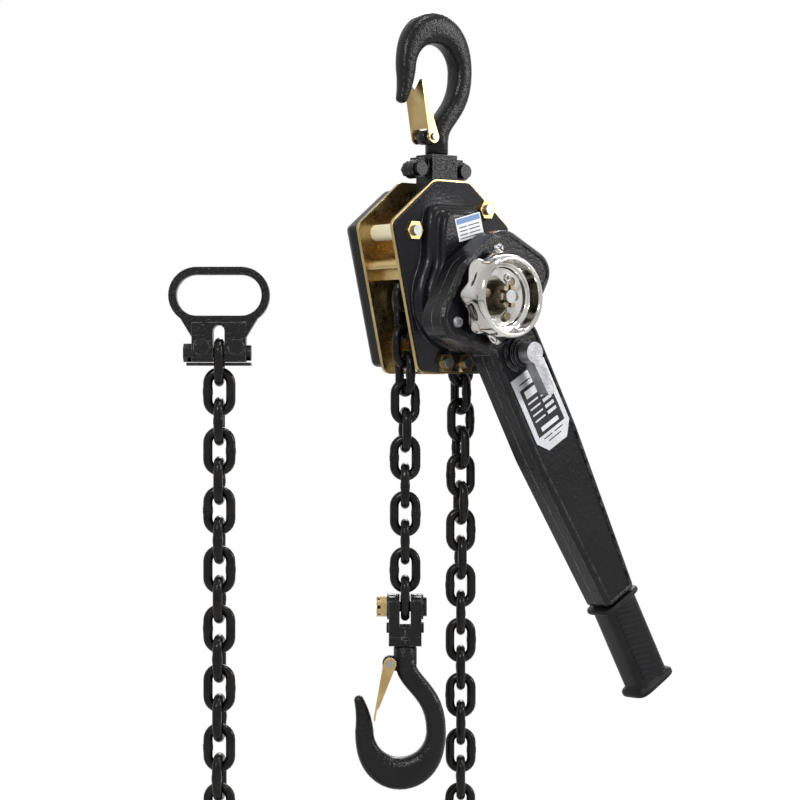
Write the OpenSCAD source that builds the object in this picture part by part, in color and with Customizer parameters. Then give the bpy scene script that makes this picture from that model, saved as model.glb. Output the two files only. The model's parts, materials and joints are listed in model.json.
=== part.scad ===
// Lever chain hoist for pulling and lifting, hanging from its top hook.
// The origin is the saddle of the top hook. The shafts lie along Y, with the handwheel towards -Y.

/* [Load chain] */
// Diameter of the chain wire
wire_d = 7.8; // [7:0.1:8.2]
// Inner length of one link, which is the pitch of the chain
link_pitch = 24; // [23.6:0.1:25]
// Outer width of one link
link_w = 26.4; // [26:0.1:27]
// Links of the load strand below the sheave
load_links = 11; // [7:2:15]
// Links of the tail strand below the sheave
tail_links = 18; // [16:2:24]
// Links in the half round of the slack chain
loop_links = 17; // [15:2:21]
// Links of the strand that leads up to the tail ring
ring_links = 16; // [8:2:20]

/* [Hooks] */
// Diameter of the hook bowl
bowl_d = 45; // [42:1:48]
// Depth of the hook section at the crown
crown_w = 28; // [24:0.5:30]
// Thickness of the hook across its plane
hook_t = 21; // [19:0.5:23]
// Diameter of the swivel shank
shank_d = 14; // [13:0.5:15]
// Height of the shank from the saddle to the yoke
hook_reach = 95; // [92:1:100]

/* [Frame] */
// Height of the shaft below the top hook's saddle
shaft_drop = 220; // [214:1:226]
// Offset of the shaft from the line of the top hook
shaft_offset = 4; // [2:0.5:10]
// Clear gap between the side plates
plate_gap = 42; // [42:0.5:46]
// Thickness of a side plate
plate_t = 3; // [2.5:0.5:4]
// Width of the side plates over their side corners
plate_w = 132; // [128:1:140]
// Width of the side plates at the foot
foot_w = 78; // [76:1:90]
// Height of the side plates
plate_h = 166; // [164:1:172]

/* [Gears] */
// Module of the gears
gear_m = 1.1; // [1:0.05:1.15]
// Teeth of a pinion
pinion_z = 12; // [12:4:12]
// Teeth of a large gear
wheel_z = 46; // [46:4:46]
// Pressure angle of the teeth
press_angle = 25; // [24:0.5:26]
// Face width of the gears
gear_face = 7; // [6:0.5:7]

/* [Covers] */
// Depth of the gear cover behind the rear plate
gear_cover_h = 27; // [26:0.5:32]
// Depth of the brake cover before the front plate
brake_cover_h = 21; // [21:0.5:21.5]
// Wall of the covers
cover_wall = 2.5; // [2:0.5:3]

/* [Lever] */
// Length from the shaft to the end of the grip
lever_len = 396; // [340:1:420]
// Angle of the lever from straight down
lever_angle = 30; // [0:1:60]
// Thickness of each half of the lever
shell_t = 15; // [14:0.5:16]
// Width of the lever where the grip starts
lever_end_w = 38; // [34:1:42]
// Length of the rubber grip
grip_len = 92; // [80:1:110]
// Ribs on the face of the grip
grip_ribs = 14; // [8:1:16]

/* [Handwheel] */
// Diameter over the lobes of the handwheel
handwheel_d = 82; // [78:1:86]
// Number of lobes
lobes = 8; // [6:1:10]
// Depth of the handwheel
handwheel_h = 25; // [24:0.5:28]
// Diameter of the drive shaft
shaft_d = 11; // [10.5:0.1:11]

/* [Tail ring] */
// Outer width of the tail ring
ring_w = 82; // [70:1:90]
// Outer height of the oval of the tail ring
ring_h = 46; // [40:1:50]
// Thickness of the band of the tail ring
ring_t = 6.5; // [5:0.5:8]

/* [Hidden] */
$fn = 48;
fit = 0.05;           // radial running clearance of shafts and pins
gap = 0.4;            // clearance between loose curved pieces
slack = 0.4;          // play between two links of the chain
turn_to_front = 40;   // turn of the bottom hook and the tail ring about the chain
chain_play = 0.5;     // side play of the chain in the sheave

// Shaft frame: the shaft's place in X and Z
sx = -shaft_offset;
sz = -shaft_drop;
plate_y = plate_gap / 2;
front_y = -plate_y - plate_t;
rear_y = plate_y + plate_t;
plate_top = 102;

// Chain on the sheave: eight links to a full turn, flat and standing by turns. They turn about the
// middles of the flat links' end wires, which lie on the circle strand_r
link_turn = 45;
weld_bulge = 0.9;
link_rc = (link_w - wire_d) / 2;
link_in = link_pitch + slack;
link_straight = link_in - 2 * (link_rc - wire_d / 2);
flat_half = (link_in + wire_d) / 2;
stand_half = link_pitch - flat_half;
strand_r = sqrt(pow(flat_half, 2) + pow(stand_half, 2)
    + 2 * flat_half * stand_half * cos(link_turn)) / sin(link_turn);
flat_r = sqrt(pow(strand_r, 2) - pow(flat_half, 2));
stand_r = sqrt(pow(strand_r, 2) - pow(stand_half, 2));
flat_at = asin(flat_half / strand_r);
stand_at = 2 * flat_at + asin(stand_half / strand_r);
load_x = sx - strand_r;
tail_x = sx + strand_r;
load_top = sz - flat_half + link_pitch / 2;
tail_top = sz - stand_half + link_pitch / 2;
loop_turn = 180 / loop_links;
loop_r = link_pitch / 2 / sin(loop_turn / 2);
ring_x = tail_x - 2 * loop_r;
loop_z = tail_top - tail_links * link_pitch;
ring_z = loop_z + ring_links * link_pitch;

// Load sheave
sheave_w = link_w + 8;
sheave_r = flat_r + 5;
sheave_groove_r = stand_r - link_rc - wire_d / 2 - gap;
pocket_r = flat_r - (wire_d + weld_bulge) / 2 - gap;
trunnion_d = 28;
bearing_d = 37;

// Gears
wheel_pr = gear_m * wheel_z / 2;
pinion_pr = gear_m * pinion_z / 2;
gear_a = wheel_pr + pinion_pr;
addendum = 0.8 * gear_m;
dedendum = gear_m;
stage2_y = rear_y + 3;
stage1_y = stage2_y + gear_face + 2;
idler_pin_d = 8;

// Stays between the plates, from the shaft
stays = [[-46, 57], [36, 78], [-11, -55], [11, -55]];
stay_d = 9;
stay_tube_d = 14;
nut_af = 15;
nut_h = 7;
nut_room = nut_af / cos(30) + 1.5;

// Top yoke
yoke_top = -hook_reach;
head_h = 5.5;
head_d = 21;
yoke_wall = 6;
yoke_pin_z = -134;
yoke_pin_d = 12;
yoke_ear_x = 25;
ear_y = 6;
yoke_y = 11;
clamp_d = 7;

// Brake, from the front plate outwards
brake_bore = 38;
disc_r = 24;
disc_t = 2.5;
ratchet_t = 4;
ratchet_r = 26;
ratchet_z = 16;
hub_y = front_y - 2.5;
hub_flange_t = 3.5;
disc1_y = hub_y - hub_flange_t;
ratchet_y = disc1_y - disc_t;
disc2_y = ratchet_y - ratchet_t;
gear_hub_y = disc2_y - disc_t;
sleeve_d = 17;
cover_face_y = front_y - brake_cover_h;

// Lever
lever_y = cover_face_y - 1.2;
hub_bore_d = 31;
change_gear_r = 23;
lever_front_y = lever_y - 2 * shell_t;
selector_at = [4, -56];
selector_shaft_d = 9;
selector_swing = 20;
boss_d = 24;
boss_h = 7;

// Handwheel
wheel_back_y = lever_front_y - 2;
wheel_front_y = wheel_back_y - handwheel_h;
wheel_floor = 9;

// Bottom yoke, in its own frame on the load strand
pin_d = 9;
load_end = load_top - load_links * link_pitch;
pin_z = load_end + pin_d / 2;
low_top = pin_z + 9;
low_head_z = pin_z - 22;
low_end = low_head_z - head_h - yoke_wall;
low_x = 14;
low_y = 12;
link_slot = wire_d + weld_bulge + 0.7;
low_rivets = [[-8, pin_z - 18], [8, pin_z - 18]];
rivet_d = 5;

black = [0.10, 0.10, 0.11];
gold = [0.86, 0.72, 0.38];
steel = [0.72, 0.73, 0.74];
chrome = [0.85, 0.86, 0.87];

// ---------- helpers ----------

// The shaft's frame at y: X right, local Y up, and extrusions run towards -Y
module on_shaft(y) translate([sx, y, sz]) rotate([90, 0, 0]) children();

// A closed skin over rings of points, with flat ends
module skin(rings) {
    n = len(rings[0]);
    m = len(rings);
    points = [for (ring = rings, p = ring) p];
    sides = [for (i = [0 : m - 2], j = [0 : n - 1])
        each [[i * n + j, (i + 1) * n + (j + 1) % n, i * n + (j + 1) % n],
              [i * n + j, (i + 1) * n + j, (i + 1) * n + (j + 1) % n]]];
    start = [for (j = [1 : n - 2]) [0, j, j + 1]];
    end = [for (j = [1 : n - 2]) [(m - 1) * n, (m - 1) * n + j + 1, (m - 1) * n + j]];
    polyhedron(points, concat(sides, start, end), convexity = 8);
}

function bezier(p, t) = p[0] * pow(1 - t, 3) + 3 * p[1] * t * pow(1 - t, 2)
    + 3 * p[2] * t * t * (1 - t) + p[3] * t * t * t;

// Angle of the outward normal of the belt between circles a and b, which are [x, y, r]
function belt_normal(a, b) = atan2(b[1] - a[1], b[0] - a[0])
    - acos((a[2] - b[2]) / norm([b[0] - a[0], b[1] - a[1]]));

// Outline of a belt drawn round a list of circles, counterclockwise, and drawn in by inset
function belt(c, inset, steps) = let (n = len(c)) [for (i = [0 : n - 1])
    let (a0 = belt_normal(c[(i + n - 1) % n], c[i]), a1 = belt_normal(c[i], c[(i + 1) % n]),
         span = (a1 - a0 + 720) % 360)
        for (k = [0 : steps]) let (q = a0 + span * k / steps)
            [c[i][0] + (c[i][2] - inset) * cos(q), c[i][1] + (c[i][2] - inset) * sin(q)]];
function at_height(outline, z) = [for (p = outline) [p[0], p[1], z]];

// A slot shape: a bar with two round ends
module slot2d(len, w) {
    square([len - w, w], center = true);
    for (s = [-1, 1])
        translate([s * (len - w) / 2, 0]) circle(d = w);
}

module hex_nut(af, h, bore) difference() {
    cylinder(d = af / cos(30), h = h, $fn = 6);
    translate([0, 0, -1]) cylinder(d = bore, h = h + 2);
}

// ---------- chain ----------

// One link, long in Z and flat in XZ, with the weld's bulge on one leg
module link() {
    for (s = [-1, 1]) {
        translate([s * link_rc, 0, 0]) cylinder(d = wire_d, h = link_straight, center = true);
        translate([0, 0, s * link_straight / 2])
            rotate([s * 90, 0, 0])
                rotate_extrude(angle = 180) translate([link_rc, 0]) circle(d = wire_d);
    }
    translate([link_rc, 0, 0]) cylinder(d = wire_d + weld_bulge, h = 3.4, center = true);
}

// A straight strand downwards from the origin. roll0 turns the first link about the strand, and
// the strand twists by twist over twist_links links, from the link twist_from on
module strand(count, roll0, twist, twist_from, twist_links) {
    for (k = [0 : count - 1])
        translate([0, 0, -(k + 0.5) * link_pitch])
            rotate([0, 0, roll0 + 90 * k + twist * min(max(k - twist_from, 0), twist_links) / twist_links])
                link();
}

// The four links on the sheave: a flat one first, from the tail strand's side
module sheave_links() color(black) on_shaft(0) {
    for (k = [0, 1]) {
        rotate([0, 0, flat_at + 2 * link_turn * k]) translate([flat_r, 0, 0])
            rotate([-90, 0, 0]) rotate([0, 0, 90]) link();
        rotate([0, 0, stand_at + 2 * link_turn * k]) translate([stand_r, 0, 0])
            rotate([-90, 0, 0]) link();
    }
}

// The strands stay in the sheave's plane until they have left it
off_sheave = 1;
load_twist_links = 4;
module load_chain() color(black)
    translate([load_x, 0, load_top]) strand(load_links, 90, -turn_to_front, off_sheave, load_twist_links);

tail_twist_links = 10;
module tail_chain() color(black)
    translate([tail_x, 0, tail_top]) strand(tail_links, 0, -turn_to_front, off_sheave, tail_twist_links);

module chain_loop() color(black) {
    for (k = [0 : loop_links - 1])
        translate([tail_x - loop_r, 0, loop_z])
            rotate([0, loop_turn * (k + 0.5), 0]) translate([loop_r * cos(loop_turn / 2), 0, 0])
                rotate([0, 0, -turn_to_front + 90 * (tail_links + k)]) link();
}

// Its top link stands in the ring's slot, and its lowest follows the loop
module ring_chain() color(black)
    translate([ring_x, 0, ring_z])
        strand(ring_links, 90 - turn_to_front, 2 * turn_to_front - 90, 0, ring_links - 1);

// ---------- hooks ----------

function hook_w(a, side, far) = crown_w * pow(sin(a), 2) + (a < 90 ? side : far) * pow(cos(a), 2);
bowl_r = bowl_d / 2;
bowl_x = -4.5;                                    // the bowl leans towards the tip
bowl_z = -sqrt(bowl_r * bowl_r - bowl_x * bowl_x);  // and its wall passes through the origin
side_w = 17;
far_w = 16;
tip_w = 7;
tip_t = 9;
neck_z = -76;
neck_w = 18;
side_x = bowl_x + bowl_r + side_w / 2;
far_x = bowl_x - bowl_r - far_w / 2;
neck_curve = [[0, neck_z - 6], [0, neck_z + 14], [side_x, bowl_z - 36], [side_x, bowl_z]];
tip_curve = [[far_x, bowl_z], [far_x, bowl_z - 12], [far_x - 3, bowl_z - 22], [far_x - 6, bowl_z - 30]];
neck_steps = 9;
arc_steps = 18;
tip_steps = 7;
ring_sides = 16;
collar_d = 20;

// Stations along the hook: centre x and z, width in its plane, thickness across it
function arc_c(a) = let (w = hook_w(a, side_w, far_w))
    (bowl_r + w / 2) * [cos(a), sin(a)] + [bowl_x, bowl_z];
far_t = hook_t - 6;
hook_path = concat(
    [for (i = [0 : neck_steps - 1]) let (t = i / neck_steps)
        concat(bezier(neck_curve, t), [neck_w + (side_w - neck_w) * t, neck_w + (hook_t - neck_w) * t])],
    [for (i = [0 : arc_steps]) let (a = 180 * i / arc_steps)
        concat(arc_c(a), [hook_w(a, side_w, far_w), hook_t + (far_t - hook_t) * max(a - 90, 0) / 90])],
    [for (i = [1 : tip_steps]) let (t = i / tip_steps)
        concat(bezier(tip_curve, t), [far_w + (tip_w - far_w) * t, far_t + (tip_t - far_t) * t])]);

function station_dir(i) = let (a = hook_path[max(i - 1, 0)], b = hook_path[min(i + 1, len(hook_path) - 1)])
    [b[0] - a[0], b[1] - a[1]] / norm([b[0] - a[0], b[1] - a[1]]);
function soft(v) = sign(v) * pow(abs(v), 0.8);
function hook_ring(i) = let (s = hook_path[i], d = station_dir(i))
    [for (j = [0 : ring_sides - 1]) let (q = 360 * j / ring_sides, u = s[2] / 2 * soft(cos(q)))
        [s[0] + d[1] * u, s[3] / 2 * soft(sin(q)), s[1] - d[0] * u]];

lug_at = [-13, -80];
lug_d = 13;
lug_t = 10;
latch_pin_d = 4;

// The hook with its shank and head: the swivel turns on the shank
module hook_solid() {
    skin([for (i = [0 : len(hook_path) - 1]) hook_ring(i)]);
    difference() {
        union() {
            translate([lug_at[0], 0, lug_at[1]]) rotate([90, 0, 0])
                cylinder(d = lug_d, h = lug_t, center = true);
            translate([lug_at[0], -lug_t / 2, lug_at[1] - lug_d / 2]) cube([-lug_at[0], lug_t, lug_d]);
        }
        translate([lug_at[0], 0, lug_at[1]]) rotate([90, 0, 0])
            cylinder(d = latch_pin_d + 2 * fit, h = lug_t + 2, center = true);
    }
    translate([0, 0, -hook_reach - yoke_wall - 1]) cylinder(d = shank_d, h = yoke_wall + 4);
    translate([0, 0, -hook_reach + 0.5]) cylinder(d = collar_d, h = hook_reach + neck_z + 1);
    translate([0, 0, -hook_reach - yoke_wall - head_h - 0.2]) cylinder(d = head_d, h = head_h);
}

latch_len = 50;
latch_w = 24;
latch_sheet = 1.5;
latch_lean = 10;
latch_foot = lug_d / 2 + 1;   // the sheet starts clear of the lug

// A pressed sheet latch in its own frame: the pin along Y at the origin, the tongue up in Z
module latch_sheet_part() difference() {
    union() {
        translate([-5.5, -latch_w / 2, latch_foot]) cube([latch_sheet, latch_w, latch_len - latch_foot]);
        for (s = [-1, 1])
            translate([0, s * (latch_w / 2 - latch_sheet / 2), 0]) rotate([90, 0, 0])
                linear_extrude(latch_sheet, center = true) {
                    circle(d = 11);
                    polygon([[-5.5, 0], [-5.5, latch_len - 6], [-2.5, latch_len - 12], [5.5, 0]]);
                }
    }
    rotate([90, 0, 0]) cylinder(d = latch_pin_d + 2 * fit, h = latch_w + 2, center = true);
    translate([-6, 0, latch_len]) rotate([0, 90, 0]) rotate([0, 0, 45]) cube([13, 13, 8], center = true);
}

module latch_place() translate([lug_at[0], 0, lug_at[1]]) rotate([0, -latch_lean, 0]) children();

module latch_pin_part() latch_place() rotate([90, 0, 0]) {
    cylinder(d = latch_pin_d, h = latch_w + 1.6, center = true);
    for (s = [-1, 1])
        translate([0, 0, s * (latch_w / 2 + 1.2)]) cylinder(d = latch_pin_d + 2.4, h = 1.4, center = true);
}

// A torsion spring round the latch pin, with one leg up the latch and one against the hook
coil_turns = 3;
coil_r = 3.3;
coil_wire = 0.9;
coil_steps = 8;
function coil_centre(i) = let (q = 360 * i / coil_steps)
    [coil_r * cos(q), -lug_t / 2 - 0.8 - (coil_wire + 0.3) * i / coil_steps, coil_r * sin(q)];
function coil_ring(i) = let (q = 360 * i / coil_steps, c = coil_centre(i))
    [for (j = [0 : 5]) let (b = 60 * j)
        c + coil_wire / 2 * [cos(b) * cos(q), sin(b), cos(b) * sin(q)]];
module latch_spring_part() latch_place() {
    skin([for (i = [0 : coil_turns * coil_steps]) coil_ring(i)]);
}

module top_hook() color(black) hook_solid();
module top_latch() color(gold) latch_place() latch_sheet_part();
module top_latch_pin() color(steel) latch_pin_part();
module top_latch_spring() color(steel) latch_spring_part();

// Bottom hook: the same forging turned over, hanging from its yoke
module low_frame() translate([load_x, 0, 0]) rotate([0, 0, -turn_to_front]) children();
bottom_z = low_end - hook_reach;
module low_hook_frame() low_frame() translate([0, 0, bottom_z]) mirror([0, 0, 1]) children();
module bottom_hook() color(black) low_hook_frame() hook_solid();
module bottom_latch() color(gold) low_hook_frame() latch_place() latch_sheet_part();
module bottom_latch_pin() color(steel) low_hook_frame() latch_pin_part();
module bottom_latch_spring() color(steel) low_hook_frame() latch_spring_part();

// ---------- top yoke ----------

yoke_bottom = yoke_pin_z - 13;
yoke_leg_y = plate_y - 2;

// Outlines seen along Y: the yoke with its foot round the pin, and its clamp ears
module yoke_outline() {
    translate([-14, -126]) square([28, 126 + yoke_top]);
    hull() {
        translate([0, yoke_pin_z]) circle(d = 26);
        translate([-14, -126]) square([28, 6]);
    }
}
module ear_outline() {
    translate([-yoke_ear_x, yoke_top - 17]) square([2 * yoke_ear_x, 14]);
    for (s = [-1, 1])
        translate([s * yoke_ear_x, yoke_top - 13]) circle(d = 16);
}

// One half of the yoke: s is -1 for the front half and 1 for the rear half
module yoke_half(s) difference() {
    union() {
        intersection() {
            union() {
                rotate([90, 0, 0]) linear_extrude(2 * yoke_y, center = true) yoke_outline();
                rotate([90, 0, 0]) linear_extrude(2 * ear_y, center = true) ear_outline();
            }
            translate([-60, s < 0 ? -30 : 0, -160]) cube([120, 30, 100]);
        }
        translate([0, s * (yoke_leg_y - 4.5), yoke_pin_z]) rotate([90, 0, 0])
            cylinder(d = 24, h = 9, center = true);
    }
    translate([0, 0, yoke_top - yoke_wall - head_h - 0.6]) cylinder(d = head_d + 2 * gap, h = head_h + 0.8);
    translate([0, 0, yoke_top - 10]) cylinder(d = shank_d + 2 * fit, h = 20);
    translate([0, 0, yoke_pin_z]) rotate([90, 0, 0])
        cylinder(d = yoke_pin_d + 2 * fit, h = 2 * yoke_leg_y + 2, center = true);
    for (e = [-1, 1])
        translate([e * yoke_ear_x, 0, yoke_top - 13]) rotate([90, 0, 0])
            cylinder(d = clamp_d + 2 * fit, h = 2 * ear_y + 2, center = true);
}

module yoke_front_half() color(black) yoke_half(-1);
module yoke_rear_half() color(black) yoke_half(1);

module yoke_bolts() color(black) {
    for (e = [-1, 1])
        translate([e * yoke_ear_x, -ear_y - 4.5, yoke_top - 13]) rotate([-90, 0, 0]) {
            cylinder(d = clamp_d, h = 2 * ear_y + 12);
            difference() {
                cylinder(d = 12, h = 4.5);
                translate([0, 0, -0.1]) cylinder(d = 6, h = 2.4, $fn = 6);
            }
            translate([0, 0, 2 * ear_y + 4.5]) cylinder(d = 13, h = 5, $fn = 6);
        }
}

module yoke_pin() color(steel) {
    translate([0, 0, yoke_pin_z]) rotate([90, 0, 0]) {
        cylinder(d = yoke_pin_d, h = 2 * rear_y + 3, center = true);
        for (s = [-1, 1])
            translate([0, 0, s * (rear_y + 1)]) cylinder(d = yoke_pin_d + 4, h = 2, center = true);
    }
}

// ---------- frame ----------

// The side plate's outline about the shaft, with rounded corners
function plate_circles(inset) = let (r = 9 - min(inset, 4), d = r + inset,
    foot = plate_top - plate_h + d, wide = plate_w / 2 - d, low = foot_w / 2 - d)
    [[low, foot, r], [wide, 60, r], [16, plate_top - d, r],
     [-16, plate_top - d, r], [-wide, 60, r], [-low, foot, r]];
plate_steps = 6;
function plate_outline(inset) = belt(plate_circles(inset), 0, plate_steps);

module side_plate() difference() {
    linear_extrude(plate_t) polygon(plate_outline(0));
    translate([0, 0, -1]) cylinder(d = bearing_d + 2 * fit, h = plate_t + 2);
    for (p = stays)
        translate([p[0], p[1], -1]) cylinder(d = stay_d + 2 * fit, h = plate_t + 2);
    translate([-sx, yoke_pin_z - sz, -1]) cylinder(d = yoke_pin_d + 2 * fit, h = plate_t + 2);
}

module front_plate() color(gold) on_shaft(-plate_y) side_plate();

module rear_plate() color(gold) difference() {
    on_shaft(rear_y) side_plate();
    for (s = [-1, 1])
        on_shaft(rear_y + 1) translate([0, s * gear_a, 0])
            cylinder(d = idler_pin_d + 2 * fit, h = plate_t + 2);
}

module stay_bolts() color(steel) {
    for (p = stays)
        on_shaft(rear_y + nut_h + 3) translate([p[0], p[1], 0])
            cylinder(d = stay_d, h = 2 * (rear_y + nut_h + 3));
}

module stay_tubes() color([0.93, 0.88, 0.72]) {
    for (p = stays)
        on_shaft(plate_y) translate([p[0], p[1], 0]) difference() {
            cylinder(d = stay_tube_d, h = plate_gap);
            translate([0, 0, -1]) cylinder(d = stay_d + 2 * fit, h = plate_gap + 2);
        }
}

module stay_nuts() color(gold) {
    for (p = stays, s = [0, 1])
        on_shaft(s == 0 ? rear_y + nut_h : front_y) translate([p[0], p[1], 0])
            hex_nut(nut_af, nut_h, stay_d + 2 * fit);
}

module sheave_bearings() color(steel) {
    for (y = [-plate_y, rear_y])
        on_shaft(y) difference() {
            cylinder(d = bearing_d, h = plate_t);
            translate([0, 0, -1]) cylinder(d = trunnion_d + 2 * fit, h = plate_t + 2);
        }
}

// A curled sheet that keeps the chain on the sheave at the load side
curl_at = [-51, 28];
curl_r = 6;
curl_t = 1.6;
curl_leg = 12;
curl_sweep = 210;
curl_steps = 14;
function curl_arc(r) = [for (i = [0 : curl_steps]) let (q = curl_sweep * i / curl_steps) r * [cos(q), sin(q)]];
curl_inner = curl_arc(curl_r - curl_t);
module chain_guide() color(gold) on_shaft(plate_y) translate([curl_at[0], curl_at[1], 0])
    linear_extrude(plate_gap) polygon(concat([[curl_r, -curl_leg]], curl_arc(curl_r),
        [for (i = [curl_steps : -1 : 0]) curl_inner[i]], [[curl_r - curl_t, -curl_leg]]));

// The stripper lifts the chain out of the sheave's groove below the shaft
stripper_t = 6.5;
stripper_w = 16;
stripper_foot = 47.5;
stripper_foot_w = 28;
stripper_foot_h = 4;
module chain_stripper() color(gold) {
    on_shaft(stripper_t / 2) linear_extrude(stripper_t) difference() {
        translate([-stripper_w / 2, -stripper_foot + 1]) square([stripper_w, stripper_foot - 1]);
        circle(r = sheave_groove_r + gap);
    }
    on_shaft(plate_y) linear_extrude(plate_gap)
        translate([-stripper_foot_w / 2, -stripper_foot]) square([stripper_foot_w, stripper_foot_h]);
}

// ---------- load sheave ----------

module load_sheave() color([0.35, 0.35, 0.37]) difference() {
    union() {
        on_shaft(sheave_w / 2) cylinder(r = sheave_r, h = sheave_w);
        on_shaft(stage2_y + gear_face) cylinder(d = trunnion_d, h = stage2_y + gear_face - front_y);
    }
    on_shaft(0) rotate_extrude()
        translate([sheave_groove_r, -wire_d / 2 - chain_play]) square([30, wire_d + 2 * chain_play]);
    for (k = [0 : 3])
        on_shaft(0) rotate([0, 0, flat_at + 2 * link_turn * k]) translate([pocket_r, 0, 0])
            rotate([0, 90, 0]) rotate([0, 0, 90]) linear_extrude(30)
                slot2d(link_in + 2 * wire_d + 2 * chain_play, link_w + 2 * chain_play);
    on_shaft(60) cylinder(d = shaft_d + 2 * fit, h = 120);
}

// ---------- gears ----------

function involute(rb, q) = rb * [cos(q) + q * PI / 180 * sin(q), sin(q) - q * PI / 180 * cos(q)];
function turned(p, q) = [p[0] * cos(q) - p[1] * sin(q), p[0] * sin(q) + p[1] * cos(q)];
function roll_at(r, rb) = r > rb ? sqrt(pow(r / rb, 2) - 1) * 180 / PI : 0;
backlash = 0.12;
flank_steps = 3;

// Gear outline with true involute flanks: a tooth is centred on the local X axis
module gear2d(z) {
    pr = gear_m * z / 2;
    rb = pr * cos(press_angle);
    ro = pr + addendum;
    ri = pr - dedendum;
    half = 90 / z - backlash / pr * 90 / PI + (tan(press_angle) - press_angle * PI / 180) * 180 / PI;
    q0 = roll_at(ri, rb);
    q1 = roll_at(ro, rb);
    flank = [for (i = [0 : flank_steps]) involute(rb, q0 + (q1 - q0) * i / flank_steps)];
    root = ri < rb ? [[ri, 0]] : [];
    side = concat(root, flank);
    polygon([for (k = [0 : z - 1]) each concat(
        [for (p = side) turned(p, 360 * k / z - half)],
        [for (i = [len(side) - 1 : -1 : 0]) turned([side[i][0], -side[i][1]], 360 * k / z + half)])]);
}

module load_gear() color(steel) on_shaft(stage2_y + gear_face) difference() {
    rotate([0, 0, 90 + 180 / wheel_z]) linear_extrude(gear_face) gear2d(wheel_z);
    translate([0, 0, -1]) cylinder(d = trunnion_d + 2 * fit, h = gear_face + 2);
}

// An idler: large gear, pinion and journals in one piece. s is 1 above the shaft and -1 below
module idler(s) {
    on_shaft(stage1_y + gear_face) translate([0, s * gear_a, 0])
        rotate([0, 0, -s * 90 + 180 / wheel_z]) linear_extrude(gear_face) gear2d(wheel_z);
    on_shaft(stage1_y + 0.5) translate([0, s * gear_a, 0])
        rotate([0, 0, -s * 90]) linear_extrude(stage1_y + 0.5 - stage2_y) gear2d(pinion_z);
    on_shaft(stage1_y + gear_face + 5) translate([0, s * gear_a, 0])
        cylinder(d = idler_pin_d, h = stage1_y + gear_face + 5 - plate_y - 0.3);
}
module upper_idler() color(steel) idler(1);
module lower_idler() color(steel) idler(-1);

module drive_shaft() color(steel) {
    on_shaft(stage1_y + gear_face) rotate([0, 0, 90]) linear_extrude(gear_face) gear2d(pinion_z);
    on_shaft(stage1_y + gear_face + 5)
        cylinder(d = shaft_d - 2, h = 6);
    difference() {
        on_shaft(stage1_y + 0.5) cylinder(d = shaft_d, h = stage1_y + 0.5 - wheel_front_y - 3);
        translate([sx, nut_pin_y, sz]) cylinder(d = split_d + 2 * fit, h = 30, center = true);
    }
}

// ---------- covers ----------

// A cover with rounded shoulders, lofted over the plate's outline
module shouldered(inset, h) skin([
    at_height(plate_outline(inset), 0),
    at_height(plate_outline(inset), h * 0.5),
    at_height(plate_outline(inset + 1), h * 0.66),
    at_height(plate_outline(inset + 3.5), h * 0.82),
    at_height(plate_outline(inset + 6.5), h * 0.94),
    at_height(plate_outline(inset + 10), h)]);

gear_cover_in = 6;
module gear_cover() color(black) {
    difference() {
        translate([sx, rear_y, sz]) rotate([90, 0, 180]) shouldered(gear_cover_in, gear_cover_h);
        on_shaft(rear_y + gear_cover_h - 5.5) {
            for (s = [-1, 0, 1])
                translate([0, s * gear_a, 0]) cylinder(r = wheel_pr + addendum + 1, h = gear_cover_h);
        }
        for (s = [-1, 1])
            on_shaft(stage1_y + gear_face + 5.3) translate([0, s * gear_a, 0])
                cylinder(d = idler_pin_d + 2 * fit, h = 20);
        on_shaft(stage1_y + gear_face + 5.3) cylinder(d = shaft_d - 2 + 2 * fit, h = 20);
        for (p = stays)
            on_shaft(rear_y + nut_h + 4) translate([p[0], p[1], 0]) cylinder(d = nut_room, h = nut_h + 5);
        translate([0, 0, yoke_pin_z]) rotate([-90, 0, 0]) cylinder(d = yoke_pin_d + 6, h = rear_y + 3);
    }
}

brake_cover_in = 5;
flange_in = 1.5;
module brake_cover() color(black) {
    difference() {
        union() {
            on_shaft(front_y) linear_extrude(2) polygon(plate_outline(flange_in));
            on_shaft(front_y) shouldered(brake_cover_in + 7, brake_cover_h);
        }
        on_shaft(front_y + 1) cylinder(r = brake_bore, h = brake_cover_h - cover_wall + 1);
        on_shaft(front_y + 1) cylinder(d = hub_bore_d + 2, h = brake_cover_h + 2);
        for (p = stays)
            on_shaft(front_y + 1) translate([p[0], p[1], 0]) cylinder(d = nut_room, h = 60);
        translate([0, 0, yoke_pin_z]) rotate([90, 0, 0]) cylinder(d = yoke_pin_d + 6, h = -front_y + 3);
    }
}

label_t = 0.4;
label_w = 29;
label_h = 20;
label_at = [2, 61];
label_tilt = 15;
module cover_label() color("white")
    on_shaft(cover_face_y) translate([label_at[0], label_at[1], 0]) rotate([0, 0, label_tilt])
        linear_extrude(label_t) square([label_w, label_h], center = true);

// ---------- brake ----------

module brake_hub() color(steel) on_shaft(hub_y) difference() {
    union() {
        cylinder(r = disc_r, h = hub_flange_t);
        cylinder(d = sleeve_d, h = hub_y - gear_hub_y);
    }
    translate([0, 0, -1]) cylinder(d = shaft_d + 2 * fit, h = 40);
}

module friction_disc(y) on_shaft(y) difference() {
    cylinder(r = disc_r, h = disc_t);
    translate([0, 0, -1]) cylinder(d = sleeve_d + 2 * fit, h = disc_t + 2);
}
module inner_friction_disc() color([0.45, 0.33, 0.22]) friction_disc(disc1_y);
module outer_friction_disc() color([0.45, 0.33, 0.22]) friction_disc(disc2_y);

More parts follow.
